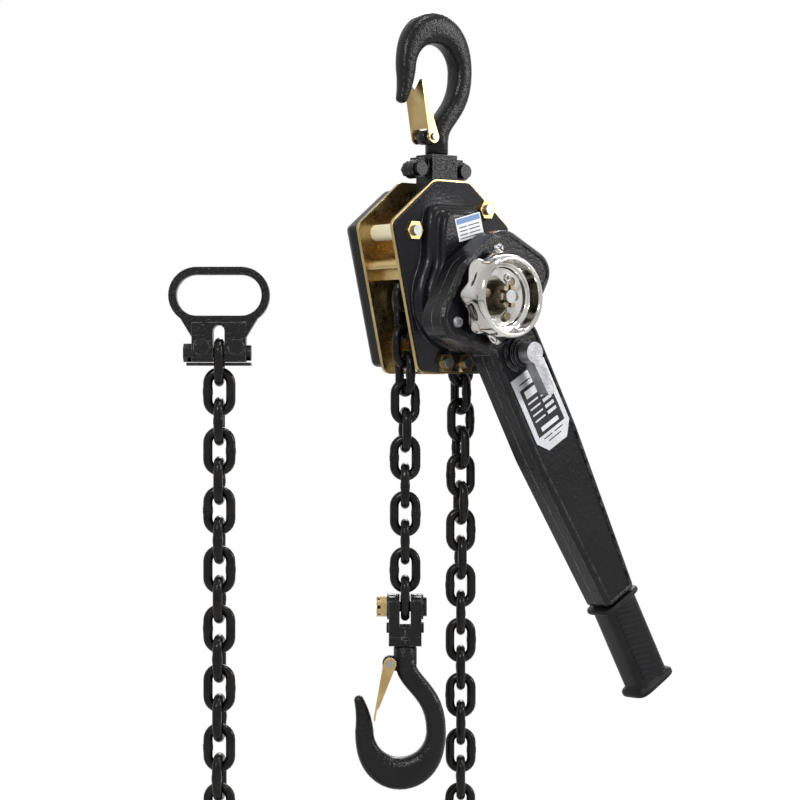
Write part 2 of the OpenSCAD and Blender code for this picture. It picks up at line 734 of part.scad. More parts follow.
// Ratchet wheel with raked teeth
ratchet_deep = 2.2;
module ratchet_disc() color(steel) on_shaft(ratchet_y) difference() {
    linear_extrude(ratchet_t) rotate(4) polygon([for (k = [0 : ratchet_z - 1])
        each [(ratchet_r - ratchet_deep) * [cos(360 * k / ratchet_z), sin(360 * k / ratchet_z)],
              ratchet_r * [cos(360 * k / ratchet_z + 2), sin(360 * k / ratchet_z + 2)]]]);
    translate([0, 0, -1]) cylinder(d = sleeve_d + 2 * fit, h = ratchet_t + 2);
}

// A pawl in its own frame: the pin at the origin, the nose pointing at the ratchet
pawl_pin_d = 5;
pawl_at = [[-31, 10], [31, -10]];
module pawl(i) on_shaft(ratchet_y) translate([pawl_at[i][0], pawl_at[i][1], 0]) rotate([0, 0, 180 * i])
    difference() {
        union() {
            cylinder(d = 9, h = ratchet_t);
            linear_extrude(ratchet_t)
                polygon([[-4, -1], [4, -1], [5.3, -9.5], [4.5, -14.5], [1.5, -13.5], [-2, -8]]);
        }
        translate([0, 0, -1]) cylinder(d = pawl_pin_d + 2 * fit, h = ratchet_t + 2);
    }
module left_pawl() color(steel) pawl(0);
module right_pawl() color(steel) pawl(1);
module pawl_pins() color(steel) {
    for (p = pawl_at)
        on_shaft(front_y) translate([p[0], p[1], 0])
            cylinder(d = pawl_pin_d, h = front_y - ratchet_y + ratchet_t + 1);
}

// ---------- lever ----------

module lever_frame(y) on_shaft(y) rotate([0, 0, lever_angle]) children();

handle_x = 4;
handle_end = -lever_len + grip_len;
end_r = 6;
head_circles = [[56, -6, 18], [32, 20, 24], [-8, 20, 20], [-40, 2, 19], [2, -20, 34]];

// The handle runs from a neck round neck_at past its waist to the grip. A waist corner is [x, y]
neck_at = [5, -50];
neck_r = 29;
waist_left = [-25, -142];
waist_right = [33, -138];
waist_r = 150;
function handle_circles(inset) = let (r = end_r - min(inset, end_r - 2), d = r + inset)
    [concat(neck_at, [neck_r - inset]), [waist_left[0] + waist_r, waist_left[1], waist_r - inset],
     [handle_x - lever_end_w / 2 + d, handle_end + d, r],
     [handle_x + lever_end_w / 2 - d, handle_end + d, r],
     [waist_right[0] - waist_r, waist_right[1], waist_r - inset]];
tang_w = 24;
tang_t = 7;
tang_end = -lever_len + 8;
belt_steps = 8;
chamfer = 3.5;
function head_outline(inset) = belt(head_circles, inset, belt_steps);
function handle_outline(inset) = belt(handle_circles(inset), 0, belt_steps);

// The head's lobes and the tapering handle, drawn in by inset
module lever2d(inset) {
    polygon(head_outline(inset));
    polygon(handle_outline(inset));
}

// A shell half with a chamfered rim, and the tang that carries the grip
module shell_solid() {
    for (f = [0, 1])
        skin([for (c = [[0, 0], [shell_t - chamfer, 0], [shell_t - 1, chamfer * 0.6], [shell_t, chamfer]])
            at_height(f == 0 ? head_outline(c[1]) : handle_outline(c[1]), c[0])]);
    translate([handle_x - tang_w / 2, tang_end, 0]) cube([tang_w, handle_end + 12 - tang_end, tang_t]);
}

lever_screws_at = [[28, 32], [-43, 0], [46, -17]];
lever_screw_d = 5;
head_cavity_r = change_gear_r + 8;
cavity_t = shell_t - 3;

// The change pawl's reach and aim from the selector's shaft
pawl_reach = norm(selector_at) - change_gear_r - 0.6;
pawl_aim = atan(-selector_at[0] / selector_at[1]);
pawl_sweep = selector_swing + 36;

module shell_holes() {
    for (p = lever_screws_at)
        translate([p[0], p[1], -30]) cylinder(d = lever_screw_d + 2 * fit, h = 60);
    translate([0, 0, -30]) cylinder(d = hub_bore_d + 2 * fit, h = 60);
    translate([selector_at[0], selector_at[1], -30]) cylinder(d = selector_shaft_d + 2 * fit, h = 60);
}

// Room in both shells for the change gear and for the pawl's sweep
sweep_steps = 6;
function sweep_arc(r, way) = [for (k = [-sweep_steps : sweep_steps])
    let (q = way * k * pawl_sweep / sweep_steps) r * [sin(q), cos(q)]];
module head_cavity() {
    cylinder(r = head_cavity_r, h = cavity_t);
    translate([selector_at[0], selector_at[1], 0]) {
        cylinder(r = 16, h = cavity_t);
        rotate([0, 0, pawl_aim]) linear_extrude(pawl_t)
            polygon(concat(sweep_arc(pawl_reach + 1, 1), sweep_arc(selector_shaft_d, -1)));
    }
}

module lever_rear_shell() color(black) lever_frame(lever_y - shell_t) difference() {
    mirror([0, 0, 1]) shell_solid();
    mirror([0, 0, 1]) translate([0, 0, -0.1]) head_cavity();
    shell_holes();
}

panel_inset = 5;
panel_d = 1.4;
module lever_front_shell() color(black) lever_frame(lever_y - shell_t) difference() {
    union() {
        shell_solid();
        translate([selector_at[0], selector_at[1], shell_t - 3]) {
            cylinder(d = boss_d, h = boss_h + 3);
            cylinder(d = boss_d + 4, h = boss_h);
        }
    }
    difference() {
        translate([0, 0, shell_t - panel_d]) linear_extrude(3) lever2d(panel_inset);
        translate([selector_at[0], selector_at[1], 0]) cylinder(d = boss_d + 8, h = 20);
    }
    translate([0, 0, -0.1]) head_cavity();
    shell_holes();
}

module lever_screws() color(chrome) {
    for (p = lever_screws_at)
        lever_frame(lever_y) translate([p[0], p[1], 0]) {
            cylinder(d = lever_screw_d, h = 2 * shell_t - panel_d);
            translate([0, 0, 2 * shell_t - panel_d]) difference() {
                cylinder(d1 = 10, d2 = 7.5, h = 2.4);
                for (q = [0, 90])
                    rotate([0, 0, q + 20]) translate([-3, -0.6, 1]) cube([6, 1.2, 3]);
            }
        }
}

// Rubber grip with a flange at each end and raised ribs on its face
grip_w = 38;
grip_t = 27;
flange_w = 47;
flange_t = 32;
rib_lean = -24;
module grip() color([0.07, 0.07, 0.08]) lever_frame(lever_y - shell_t) difference() {
    union() {
        translate([handle_x, handle_end - gap, 0]) rotate([90, 0, 0]) {
            linear_extrude(4) slot2d(flange_w, flange_t);
            linear_extrude(grip_len - gap) slot2d(grip_w, grip_t);
            translate([0, 0, grip_len - gap - 5]) linear_extrude(5) slot2d(flange_w, flange_t);
        }
        intersection() {
            for (k = [0 : grip_ribs - 1])
                translate([handle_x, handle_end - 10 - k * (grip_len - 16) / grip_ribs, 0])
                    rotate([0, 0, rib_lean]) translate([-grip_w / 2, -2.6, 0]) cube([grip_w, 2.6, 14]);
            translate([handle_x - grip_w / 2 + 6, handle_end - grip_len + 5, 0])
                cube([grip_w - 12, grip_len - 9, grip_t / 2 + 1.1]);
        }
    }
    translate([handle_x - tang_w / 2 - fit, tang_end - fit, -tang_t - fit])
        cube([tang_w + 2 * fit, handle_end - tang_end + 20, 2 * (tang_t + fit)]);
}

plate_tag_t = 0.8;
tag_at = [5, -109.5];
tag_w = 44;
tag_h = 73;
module rating_plate() color(chrome) lever_frame(lever_front_y + panel_d)
    translate([tag_at[0], tag_at[1], 0]) linear_extrude(plate_tag_t)
        polygon([[-tag_w / 2, tag_h / 2], [tag_w / 2, tag_h / 2], [tag_w / 2, -tag_h / 2 + 12],
            [tag_w / 2 - 10, -tag_h / 2], [-tag_w / 2 + 10, -tag_h / 2], [-tag_w / 2, -tag_h / 2 + 12]]);

// Selector: its shaft runs into the head, its round knob and stem stand before the boss
selector_t = 12;
selector_y = lever_front_y - boss_h - gap;
knob_d = 18;
stem_w = 11;
stem_len = 36;
module selector_lever() color(chrome) lever_frame(0) translate([selector_at[0], selector_at[1], 0]) {
    translate([0, 0, -selector_y]) linear_extrude(selector_t) {
        circle(d = knob_d);
        polygon([[-stem_w / 2, -6], [stem_w / 2, -6],
            [stem_w / 2 - 1, -stem_len], [1 - stem_w / 2, -stem_len]]);
        translate([0, -stem_len]) circle(d = stem_w - 2);
    }
    translate([0, 0, -lever_y + 5]) cylinder(d = selector_shaft_d, h = lever_y - 4 - selector_y);
}

// The change pawl swings with the selector: its two beaks clear the change gear's teeth
pawl_w = 18;
pawl_t = 9;
beak = 5;
module change_pawl() color(steel) lever_frame(lever_y - shell_t + pawl_t / 2)
    translate([selector_at[0], selector_at[1], 0]) difference() {
        linear_extrude(pawl_t) {
            circle(d = 2 * selector_shaft_d);
            rotate(pawl_aim) polygon([[-8, 0], [8, 0], [pawl_w / 2, pawl_reach - 7],
                [pawl_w / 4 + 1, pawl_reach - 1], [0, pawl_reach - beak],
                [-pawl_w / 4 - 1, pawl_reach - 1], [-pawl_w / 2, pawl_reach - 7]]);
        }
        translate([0, 0, -1]) cylinder(d = selector_shaft_d + 2 * fit, h = 12);
    }

change_z = 16;
change_t = 11;
// One tooth: depth below the tip and place along the pitch
change_tooth = [[4, -0.32], [0, -0.18], [0, 0.18], [4, 0.32]];
module change_gear() color(steel) difference() {
    union() {
        on_shaft(gear_hub_y) cylinder(r = disc_r, h = 2);
        on_shaft(gear_hub_y) cylinder(d = hub_bore_d, h = gear_hub_y - lever_front_y + 1);
        on_shaft(lever_y - shell_t + change_t / 2) linear_extrude(change_t)
            polygon([for (k = [0 : change_z - 1], c = change_tooth)
            let (q = (k + c[1]) * 360 / change_z) (change_gear_r - c[0]) * [cos(q), sin(q)]]);
    }
    on_shaft(0) cylinder(d = shaft_d + 2 * fit, h = 120);
}

// ---------- handwheel ----------

cup_r = 30;
step_r = 24.5;
rim_r = 35;
module handwheel() color(chrome) on_shaft(wheel_back_y) difference() {
    rotate_extrude($fn = 96) polygon([[shaft_d / 2 + fit, 0], [handwheel_d / 2 - 7, 0],
        [handwheel_d / 2 - 1, 2], [handwheel_d / 2, 5], [handwheel_d / 2 - 3, 9],
        [rim_r + 1.5, 15], [rim_r, handwheel_h - 4], [rim_r - 1, handwheel_h - 1],
        [rim_r - 3, handwheel_h], [cup_r + 1, handwheel_h], [cup_r, handwheel_h - 2],
        [cup_r - 1, wheel_floor + 4], [step_r, wheel_floor + 4], [step_r, wheel_floor],
        [shaft_d / 2 + fit, wheel_floor]]);
    for (k = [0 : lobes - 1])
        rotate([0, 0, 360 * (k + 0.5) / lobes]) translate([handwheel_d / 2 + 8, 0, -1])
            cylinder(r = 14.5, h = 13);
    for (k = [0 : 2])
        rotate([0, 0, 120 * k + 50]) translate([17, 0, -1]) cylinder(d = 4 + 2 * fit, h = 40);
}

module wheel_screws() color([0.25, 0.25, 0.26]) on_shaft(wheel_back_y) {
    for (k = [0 : 2])
        rotate([0, 0, 120 * k + 50]) translate([17, 0, 0]) {
            cylinder(d = 4, h = wheel_floor);
            translate([0, 0, wheel_floor]) cylinder(d = 7.5, h = 1.8);
        }
}

nut_pin_y = wheel_back_y - wheel_floor - 8;
split_d = 2.6;
module castle_nut() color([0.15, 0.14, 0.12]) difference() {
    on_shaft(wheel_back_y - wheel_floor) hex_nut(18, 11, shaft_d + 2 * fit);
    on_shaft(nut_pin_y + 2)
        for (q = [30, 90, 150])
            rotate([0, 0, q]) translate([-15, -1.6, 0]) cube([30, 3.2, 12]);
}

module split_pin() color(chrome) {
    translate([sx, nut_pin_y, sz]) {
        cylinder(d = split_d, h = 27, center = true);
        translate([0, 0, 15.6]) rotate([90, 0, 0]) difference() {
            cylinder(d = 7, h = split_d - 0.4, center = true);
            cylinder(d = 3, h = 5, center = true);
        }
    }
}

// ---------- tail ring ----------

module ring_frame() translate([ring_x, 0, ring_z]) rotate([0, 0, -turn_to_front]) children();
ring_pin_z = -pin_d / 2;
block_w = 44;
block_h = 32;
block_t = 17;
block_top = 20;

// The band's outer shape: an oval that draws in to the block
module ring2d(inset) hull() {
    for (s = [-1, 1])
        translate([s * (ring_w / 2 - ring_h / 2), block_top + ring_h / 2 - 1]) circle(d = ring_h - 2 * inset);
}

module tail_ring() color(black) ring_frame() difference() {
    union() {
        rotate([90, 0, 0]) linear_extrude(12, center = true) {
            ring2d(0);
            hull() {
                for (s = [-1, 1])
                    translate([s * (ring_w / 2 - 15), block_top + 10]) circle(r = 8);
                translate([-block_w / 2, block_top - 12]) square([block_w, 12]);
            }
        }
        translate([-block_w / 2, -block_t / 2, block_top - block_h]) cube([block_w, block_t, block_h]);
        translate([-block_w / 2 - 4, -block_t / 2 - 1.5, block_top - block_h - 3])
            cube([block_w + 8, block_t + 3, 2.5]);
        for (s = [-1, 1])
            translate([s * 14, 0, 0]) rotate([90, 0, 0]) cylinder(d = 13, h = block_t + 1.4, center = true);
    }
    rotate([90, 0, 0]) linear_extrude(14, center = true) ring2d(ring_t);
    translate([-link_slot / 2, -block_t, block_top - block_h - 5])
        cube([link_slot, 2 * block_t, block_h - 2]);
    translate([0, 0, block_top - 7]) rotate([90, 0, 0]) cylinder(d = link_slot, h = 40, center = true);
    translate([0, 0, ring_pin_z]) rotate([0, 90, 0])
        cylinder(d = pin_d + 2 * fit, h = block_w + 20, center = true);
}

module ring_bolt() color(black) ring_frame() translate([0, 0, ring_pin_z]) rotate([0, 90, 0]) {
    cylinder(d = pin_d, h = block_w + 8, center = true);
    translate([0, 0, block_w / 2]) cylinder(d = 13, h = 4);
    translate([0, 0, -block_w / 2 - 7]) cylinder(d = 15, h = 7, $fn = 6);
}

// ---------- bottom yoke ----------

module low_outline() {
    translate([-low_y, low_end + 8]) square([2 * low_y, low_top - low_end - 12]);
    hull() {
        for (s = [-1, 1])
            translate([s * (low_y - 6), low_top - 6]) circle(r = 6);
        for (s = [-1, 1])
            translate([s * (low_y - 3), pin_z - 20]) circle(r = 3);
    }
    hull() {
        translate([-low_y, pin_z - 22]) square([2 * low_y, 2]);
        translate([-low_y + 3, low_end]) square([2 * low_y - 6, 2]);
    }
}

// One side of the clamp: s is -1 on the left and 1 on the right
module low_half(s) low_frame() difference() {
    intersection() {
        union() {
            rotate([90, 0, 90]) linear_extrude(2 * low_x, center = true) low_outline();
            translate([0, 0, pin_z]) rotate([0, 90, 0]) cylinder(d = 22, h = 2 * low_x + 3, center = true);
        }
        translate([s < 0 ? -40 : 0, -40, low_end - 20]) cube([40, 80, 120]);
    }
    translate([-link_slot / 2, -40, low_head_z + 5]) cube([link_slot, 80, 80]);
    translate([0, 0, low_head_z - head_h - 0.2]) cylinder(d = head_d + 2 * gap, h = head_h + 0.8);
    translate([0, 0, low_end - 10]) cylinder(d = shank_d + 2 * fit, h = 25);
    translate([0, 0, pin_z]) rotate([0, 90, 0]) cylinder(d = pin_d + 2 * fit, h = 60, center = true);
    for (p = low_rivets)
        translate([0, p[0], p[1]]) rotate([0, 90, 0]) cylinder(d = rivet_d + 2 * fit, h = 60, center = true);
}
module low_yoke_left() color(black) low_half(-1);
module low_yoke_right() color(black) low_half(1);

module low_yoke_rivets() color(black) low_frame() {
    for (p = low_rivets)
        translate([0, p[0], p[1]]) rotate([0, 90, 0]) {
            cylinder(d = rivet_d, h = 2 * low_x + 4, center = true);
            for (s = [-1, 1])
                translate([0, 0, s * (low_x + 1)]) cylinder(d = 8, h = 2, center = true);
        }
}

module chain_pin() color(black) low_frame() translate([0, 0, pin_z]) rotate([0, 90, 0]) {
    translate([0, 0, -low_x - 10]) cylinder(d = pin_d, h = 2 * low_x + 12);
    translate([0, 0, low_x + 1.5]) cylinder(d = 17, h = 3);
}

module chain_pin_nut() color(gold) low_frame() translate([-low_x - 1.5, 0, pin_z]) rotate([0, -90, 0])
    difference() {
        hex_nut(15, 9, pin_d + 2 * fit);
        for (q = [30, 90, 150])
            rotate([0, 0, q]) translate([-15, -1.4, 5.5]) cube([30, 2.8, 10]);
    }

top_hook();
top_latch();
top_latch_pin();
top_latch_spring();
yoke_front_half();
yoke_rear_half();
yoke_bolts();
yoke_pin();
front_plate();
rear_plate();
stay_bolts();
stay_tubes();
stay_nuts();
gear_cover();
brake_cover();
cover_label();
sheave_bearings();
load_sheave();
load_gear();
upper_idler();
lower_idler();
drive_shaft();
brake_hub();
inner_friction_disc();
outer_friction_disc();
ratchet_disc();
left_pawl();
right_pawl();
pawl_pins();
chain_guide();
chain_stripper();
change_gear();
handwheel();
castle_nut();
split_pin();
wheel_screws();
lever_rear_shell();
lever_front_shell();
lever_screws();
grip();
rating_plate();
selector_lever();
change_pawl();
sheave_links();
load_chain();
tail_chain();
chain_loop();
ring_chain();
tail_ring();
ring_bolt();
low_yoke_left();
low_yoke_right();
low_yoke_rivets();
chain_pin();
chain_pin_nut();
bottom_hook();
bottom_latch();
bottom_latch_pin();
bottom_latch_spring();
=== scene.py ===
# %% [markdown]
# # A lever chain hoist, dressed in Blender
# A lever chain hoist pulls or lifts with a link chain: the lever turns a small gear train, and the
# gears turn a sheave that the chain runs over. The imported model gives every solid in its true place,
# in metres. This lesson puts a camera and soft studio light round it, builds the finer pieces in mesh
# code and Geometry Nodes, and gives every surface a procedural finish.

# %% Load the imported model
import json
import math

import bmesh
import bpy
from mathutils import Matrix, Vector


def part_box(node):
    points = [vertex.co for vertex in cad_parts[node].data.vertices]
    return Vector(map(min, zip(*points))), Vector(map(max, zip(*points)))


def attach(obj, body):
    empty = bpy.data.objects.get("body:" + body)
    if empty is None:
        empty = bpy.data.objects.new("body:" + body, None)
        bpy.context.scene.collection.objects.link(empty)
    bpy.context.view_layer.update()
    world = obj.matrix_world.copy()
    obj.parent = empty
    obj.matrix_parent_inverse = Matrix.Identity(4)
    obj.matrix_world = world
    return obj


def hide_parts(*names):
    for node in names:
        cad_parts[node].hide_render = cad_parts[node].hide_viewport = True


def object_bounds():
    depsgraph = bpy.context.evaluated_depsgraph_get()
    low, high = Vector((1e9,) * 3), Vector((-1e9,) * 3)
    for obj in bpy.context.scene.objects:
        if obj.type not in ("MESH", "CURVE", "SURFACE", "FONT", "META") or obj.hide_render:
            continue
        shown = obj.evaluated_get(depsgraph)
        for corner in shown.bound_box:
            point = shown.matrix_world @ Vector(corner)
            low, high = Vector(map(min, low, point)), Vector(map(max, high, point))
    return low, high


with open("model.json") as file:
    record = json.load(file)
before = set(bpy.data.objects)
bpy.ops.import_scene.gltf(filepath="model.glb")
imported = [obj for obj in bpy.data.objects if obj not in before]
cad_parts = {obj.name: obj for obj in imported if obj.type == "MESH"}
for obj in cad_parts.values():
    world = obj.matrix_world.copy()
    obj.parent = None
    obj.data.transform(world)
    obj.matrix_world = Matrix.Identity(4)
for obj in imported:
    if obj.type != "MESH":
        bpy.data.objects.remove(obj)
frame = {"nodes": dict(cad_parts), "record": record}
cad_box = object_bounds()
nodes = frame["nodes"]
MM = 0.001


# %% [markdown]
# ## Sizes and places
# The finer pieces repeat a few sizes of the solids, in millimetres. Their places could be typed in one
# by one, but the chain sets most of them: a sheave of four pockets fixes how far apart its strands
# hang, and the number of links says where each strand ends. So they are worked out from one link.

# %% The link, and its turn round the sheave
WIRE, PITCH, LINK_W, SLACK = 7.8, 24.0, 26.4, 0.4
LINK_R = (LINK_W - WIRE) / 2
LINK_INSIDE = PITCH + SLACK
STRAIGHT = LINK_INSIDE - 2 * (LINK_R - WIRE / 2)
FLAT_HALF = (LINK_INSIDE + WIRE) / 2
STAND_HALF = PITCH - FLAT_HALF
POCKET_TURN = math.radians(45)
STRAND_R = math.sqrt(FLAT_HALF ** 2 + STAND_HALF ** 2
                     + 2 * FLAT_HALF * STAND_HALF * math.cos(POCKET_TURN)) / math.sin(POCKET_TURN)
FLAT_R = math.sqrt(STRAND_R ** 2 - FLAT_HALF ** 2)
STAND_R = math.sqrt(STRAND_R ** 2 - STAND_HALF ** 2)
FLAT_AT = math.degrees(math.asin(FLAT_HALF / STRAND_R))
STAND_AT = 2 * FLAT_AT + math.degrees(math.asin(STAND_HALF / STRAND_R))
print("the strands hang %.2f mm from the sheave's middle" % STRAND_R)

# %% Where the strands and the hooks hang
SHAFT_X, SHAFT_Z = -4.0, -220.0
LOAD_LINKS, TAIL_LINKS, LOOP_LINKS, RING_LINKS = 11, 18, 17, 16
LOAD_X, TAIL_X = SHAFT_X - STRAND_R, SHAFT_X + STRAND_R
LOAD_TOP = SHAFT_Z - FLAT_HALF + PITCH / 2
TAIL_TOP = SHAFT_Z - STAND_HALF + PITCH / 2
LOOP_TURN = 180 / LOOP_LINKS
LOOP_R = PITCH / 2 / math.sin(math.radians(LOOP_TURN / 2))
LOOP_Z = TAIL_TOP - TAIL_LINKS * PITCH
RING_X = TAIL_X - 2 * LOOP_R
RING_Z = LOOP_Z + RING_LINKS * PITCH
HOOK_TURN = 40
HOOK_REACH, HEAD_H, YOKE_WALL, YOKE_DROP, PIN_R = 95.0, 5.5, 6.0, 22.0, 4.5
PIN_Z = LOAD_TOP - LOAD_LINKS * PITCH + PIN_R
BOTTOM_Z = PIN_Z - YOKE_DROP - HEAD_H - YOKE_WALL - HOOK_REACH
print("ring strand at x %.1f, bottom hook at z %.1f" % (RING_X, BOTTOM_Z))


# %% [markdown]
# ## Camera and lamps
# A long lens from 40 degrees round the left shows the wheel, the lever and the open side of the
# frame at once. Shiny black paint shows little but what it mirrors. One big lamp would turn it grey,
# so a few small soft lamps stand round the hoist and draw bright lines along its edges.

# %% Camera
AIM = Vector((-0.0243, 0.0204, -0.3066))
AWAY, AZIMUTH = 2.3, math.radians(40)


def put_in_scene(name, data):
    """A new object with this data, in the scene."""
    thing = bpy.data.objects.new(name, data)
    bpy.context.scene.collection.objects.link(thing)
    return thing


def face_aim(thing, place):
    """Stands a camera or a lamp at a place and turns it to the middle of the hoist."""
    thing.location = place
    thing.rotation_euler = (AIM - Vector(place)).to_track_quat("-Z", "Y").to_euler()


camera_data = bpy.data.cameras.new("camera")
camera_data.lens = 119.5
camera_data.sensor_width = 36
camera = put_in_scene("camera", camera_data)
face_aim(camera, AIM + AWAY * Vector((-math.sin(AZIMUTH), -math.cos(AZIMUTH), 0)))
bpy.context.scene.camera = camera
bpy.context.scene.view_settings.view_transform = "Standard"
print("camera at", [round(v, 3) for v in camera.location])


# %% Soft lamps
def soft_lamp(name, place, size, power):
    """A square area lamp that faces the hoist and doesn't show itself."""
    data = bpy.data.lights.new(name, "AREA")
    data.size = size
    data.energy = power
    lamp = put_in_scene(name, data)
    face_aim(lamp, place)
    lamp.visible_camera = False


soft_lamp("key", (-2.2, -1.2, 1.1), 0.55, 44)
soft_lamp("fill", (1.7, -1.9, 0.9), 0.45, 20)
soft_lamp("rim", (1.6, 1.6, 1.2), 1.0, 30)
soft_lamp("top", (0.3, -0.9, 1.9), 0.5, 24)
soft_lamp("low", (-1.0, -1.9, -1.1), 0.6, 14)
soft_lamp("glint", (1.0, -1.05, 0.1), 0.35, 4)


# %% [markdown]
# ## World and floor
# A white background could come from strong light, but that would wash out the paint. Light Path tells
# rays apart instead: the world is white to the eye and to shiny metal, and plain to everything else,
# so the lamps alone set the level of light. The floor takes the shadow close to the hoist and fades to
# the same white further out, which leaves no horizon.

# %% Helpers for node trees
WHITE = (1, 1, 1, 1)


def add(tree, kind, values=None, **settings):
    """A node with its settings and its plain input values."""
    node = tree.nodes.new(kind)
    for key, value in settings.items():
        setattr(node, key, value)
    for key, value in (values or {}).items():
        node.inputs[key].default_value = value
    return node


def join(tree, *links):
    """Links of (node, output, node, input). An output or input is a name or a number."""
    for source, output, target, socket in links:
        tree.links.new(source.outputs[output], target.inputs[socket])


def empty_tree(owner):
    """The cleared node tree of a world or a material."""
    owner.use_nodes = True
    owner.node_tree.nodes.clear()
    return owner.node_tree


print("node helpers ready")

# %% World
PLAIN_LIGHT = 0.42
world = bpy.data.worlds.new("studio")
bpy.context.scene.world = world
tree = empty_tree(world)
path = add(tree, "ShaderNodeLightPath")
eye = add(tree, "ShaderNodeMath", operation="ADD")
seen = add(tree, "ShaderNodeMath", operation="ADD", use_clamp=True)
plain = add(tree, "ShaderNodeBackground", {"Color": WHITE, "Strength": PLAIN_LIGHT})
white = add(tree, "ShaderNodeBackground", {"Color": WHITE, "Strength": 1.0})
blend = add(tree, "ShaderNodeMixShader")
out = add(tree, "ShaderNodeOutputWorld")
join(tree, (path, "Is Camera Ray", eye, 0), (path, "Is Glossy Ray", eye, 1),
     (eye, 0, seen, 0), (path, "Is Transmission Ray", seen, 1),
     (seen, 0, blend, 0), (plain, 0, blend, 1), (white, 0, blend, 2), (blend, 0, out, "Surface"))
print("plain light", PLAIN_LIGHT)

# %% Floor
FLOOR_HALF, FLOOR_GAP = 4.0, 0.002
SHADOW_FROM, SHADOW_TO, SHADOW_GLOW = 1.1, 1.9, 0.72
floor_z = cad_box[0][2] - FLOOR_GAP
floor_mesh = bpy.data.meshes.new("floor")
floor_mesh.from_pydata([(x * FLOOR_HALF, y * FLOOR_HALF, floor_z)
                        for x, y in ((-1, -1), (1, -1), (1, 1), (-1, 1))], [], [(0, 1, 2, 3)])
floor = put_in_scene("floor", floor_mesh)
floor_paint = bpy.data.materials.new("pale_floor")
tree = empty_tree(floor_paint)
path = add(tree, "ShaderNodeLightPath")
paint = add(tree, "ShaderNodeBsdfDiffuse", {"Color": (0.86, 0.86, 0.86, 1)})
glow = add(tree, "ShaderNodeEmission", {"Strength": 1.0})
where = add(tree, "ShaderNodeTexCoord")
reach = add(tree, "ShaderNodeVectorMath", operation="LENGTH")
fade = add(tree, "ShaderNodeMapRange", {"From Min": SHADOW_FROM, "From Max": SHADOW_TO,
                                        "To Min": SHADOW_GLOW, "To Max": 1.0})
shown = add(tree, "ShaderNodeMath", operation="MULTIPLY")
blend = add(tree, "ShaderNodeMixShader")
out = add(tree, "ShaderNodeOutputMaterial")
join(tree, (where, "Object", reach, 0), (reach, "Value", fade, "Value"),
     (path, "Is Camera Ray", shown, 0), (fade, "Result", shown, 1),
     (shown, 0, blend, 0), (paint, 0, blend, 1), (glow, 0, blend, 2), (blend, 0, out, "Surface"))
floor_mesh.materials.append(floor_paint)
print("floor at", round(floor_z, 3))


# %% [markdown]
# ## Shared effects
# Real castings are never even: thick paint gathers in small bumps, edges wear through, and plating
# drifts in colour. A lighter tone along the edges stands for that wear, and on the black paint it is
# also a painted highlight line. Each finish could hold its own copy of these nodes. One node group for
# each effect, with named inputs, keeps them alike and easy to change. A Bevel node gives a sharp edge
# a soft highlight without changing the mesh.

# %% An empty node group
def new_group(name, inputs, outputs, kind="ShaderNodeTree"):
    """A group with its two end nodes. inputs are (name, type, value) and outputs are (name, type)."""
    group = bpy.data.node_groups.new(name, kind)
    for label, value_type, value in inputs:
        socket = group.interface.new_socket(label, in_out="INPUT", socket_type="NodeSocket" + value_type)
        if value is not None:
            socket.default_value = value
    for label, value_type in outputs:
        group.interface.new_socket(label, in_out="OUTPUT", socket_type="NodeSocket" + value_type)
    return group, add(group, "NodeGroupInput"), add(group, "NodeGroupOutput")


print("group helper ready")

# %% Bumps and soft edges
grain, start, end = new_group(
    "grained_surface",
    [("Vector", "Vector", None), ("Scale", "Float", 900.0), ("Height", "Float", 0.3),
     ("Edge", "Float", 0.0005)],
    [("Normal", "Vector"), ("Speckle", "Float")])
lumps = add(grain, "ShaderNodeTexNoise", {"Detail": 3.0, "Roughness": 0.6})
edge = add(grain, "ShaderNodeBevel", samples=4)
bump = add(grain, "ShaderNodeBump", {"Distance": 0.001})
join(grain, (start, "Vector", lumps, "Vector"), (start, "Scale", lumps, "Scale"),
     (start, "Edge", edge, "Radius"), (start, "Height", bump, "Strength"),
     (lumps, "Fac", bump, "Height"), (edge, "Normal", bump, "Normal"),
     (bump, "Normal", end, "Normal"), (lumps, "Fac", end, "Speckle"))
print("group", grain.name)

# %% Worn edges and painted highlight lines
# Where the bevelled normal leaves the flat one, there is an edge. Noise breaks the line up.
# The mask lays a lighter tone along edges: real wear, and on the black paint a painted highlight line.
wear_and_highlight, start, end = new_group(
    "worn_edges",
    [("Vector", "Vector", None), ("Radius", "Float", 0.0012), ("Amount", "Float", 1.0)],
    [("Mask", "Float")])
rounded = add(wear_and_highlight, "ShaderNodeBevel", samples=4)
flat = add(wear_and_highlight, "ShaderNodeNewGeometry")
across = add(wear_and_highlight, "ShaderNodeVectorMath", operation="DOT_PRODUCT")
patches = add(wear_and_highlight, "ShaderNodeTexNoise", {"Scale": 160.0, "Detail": 4.0})
turned = add(wear_and_highlight, "ShaderNodeMapRange", {"From Min": 0.985, "From Max": 0.80}, clamp=True)
broken = add(wear_and_highlight, "ShaderNodeMapRange", {"From Min": 0.38, "From Max": 0.62}, clamp=True)
both = add(wear_and_highlight, "ShaderNodeMath", operation="MULTIPLY")
scaled = add(wear_and_highlight, "ShaderNodeMath", operation="MULTIPLY", use_clamp=True)
join(wear_and_highlight, (start, "Radius", rounded, "Radius"), (start, "Vector", patches, "Vector"),
     (rounded, "Normal", across, 0), (flat, "Normal", across, 1),
     (across, "Value", turned, "Value"), (patches, "Fac", broken, "Value"),
     (turned, "Result", both, 0), (broken, "Result", both, 1),
     (both, 0, scaled, 0), (start, "Amount", scaled, 1), (scaled, 0, end, "Mask"))
print("group", wear_and_highlight.name)

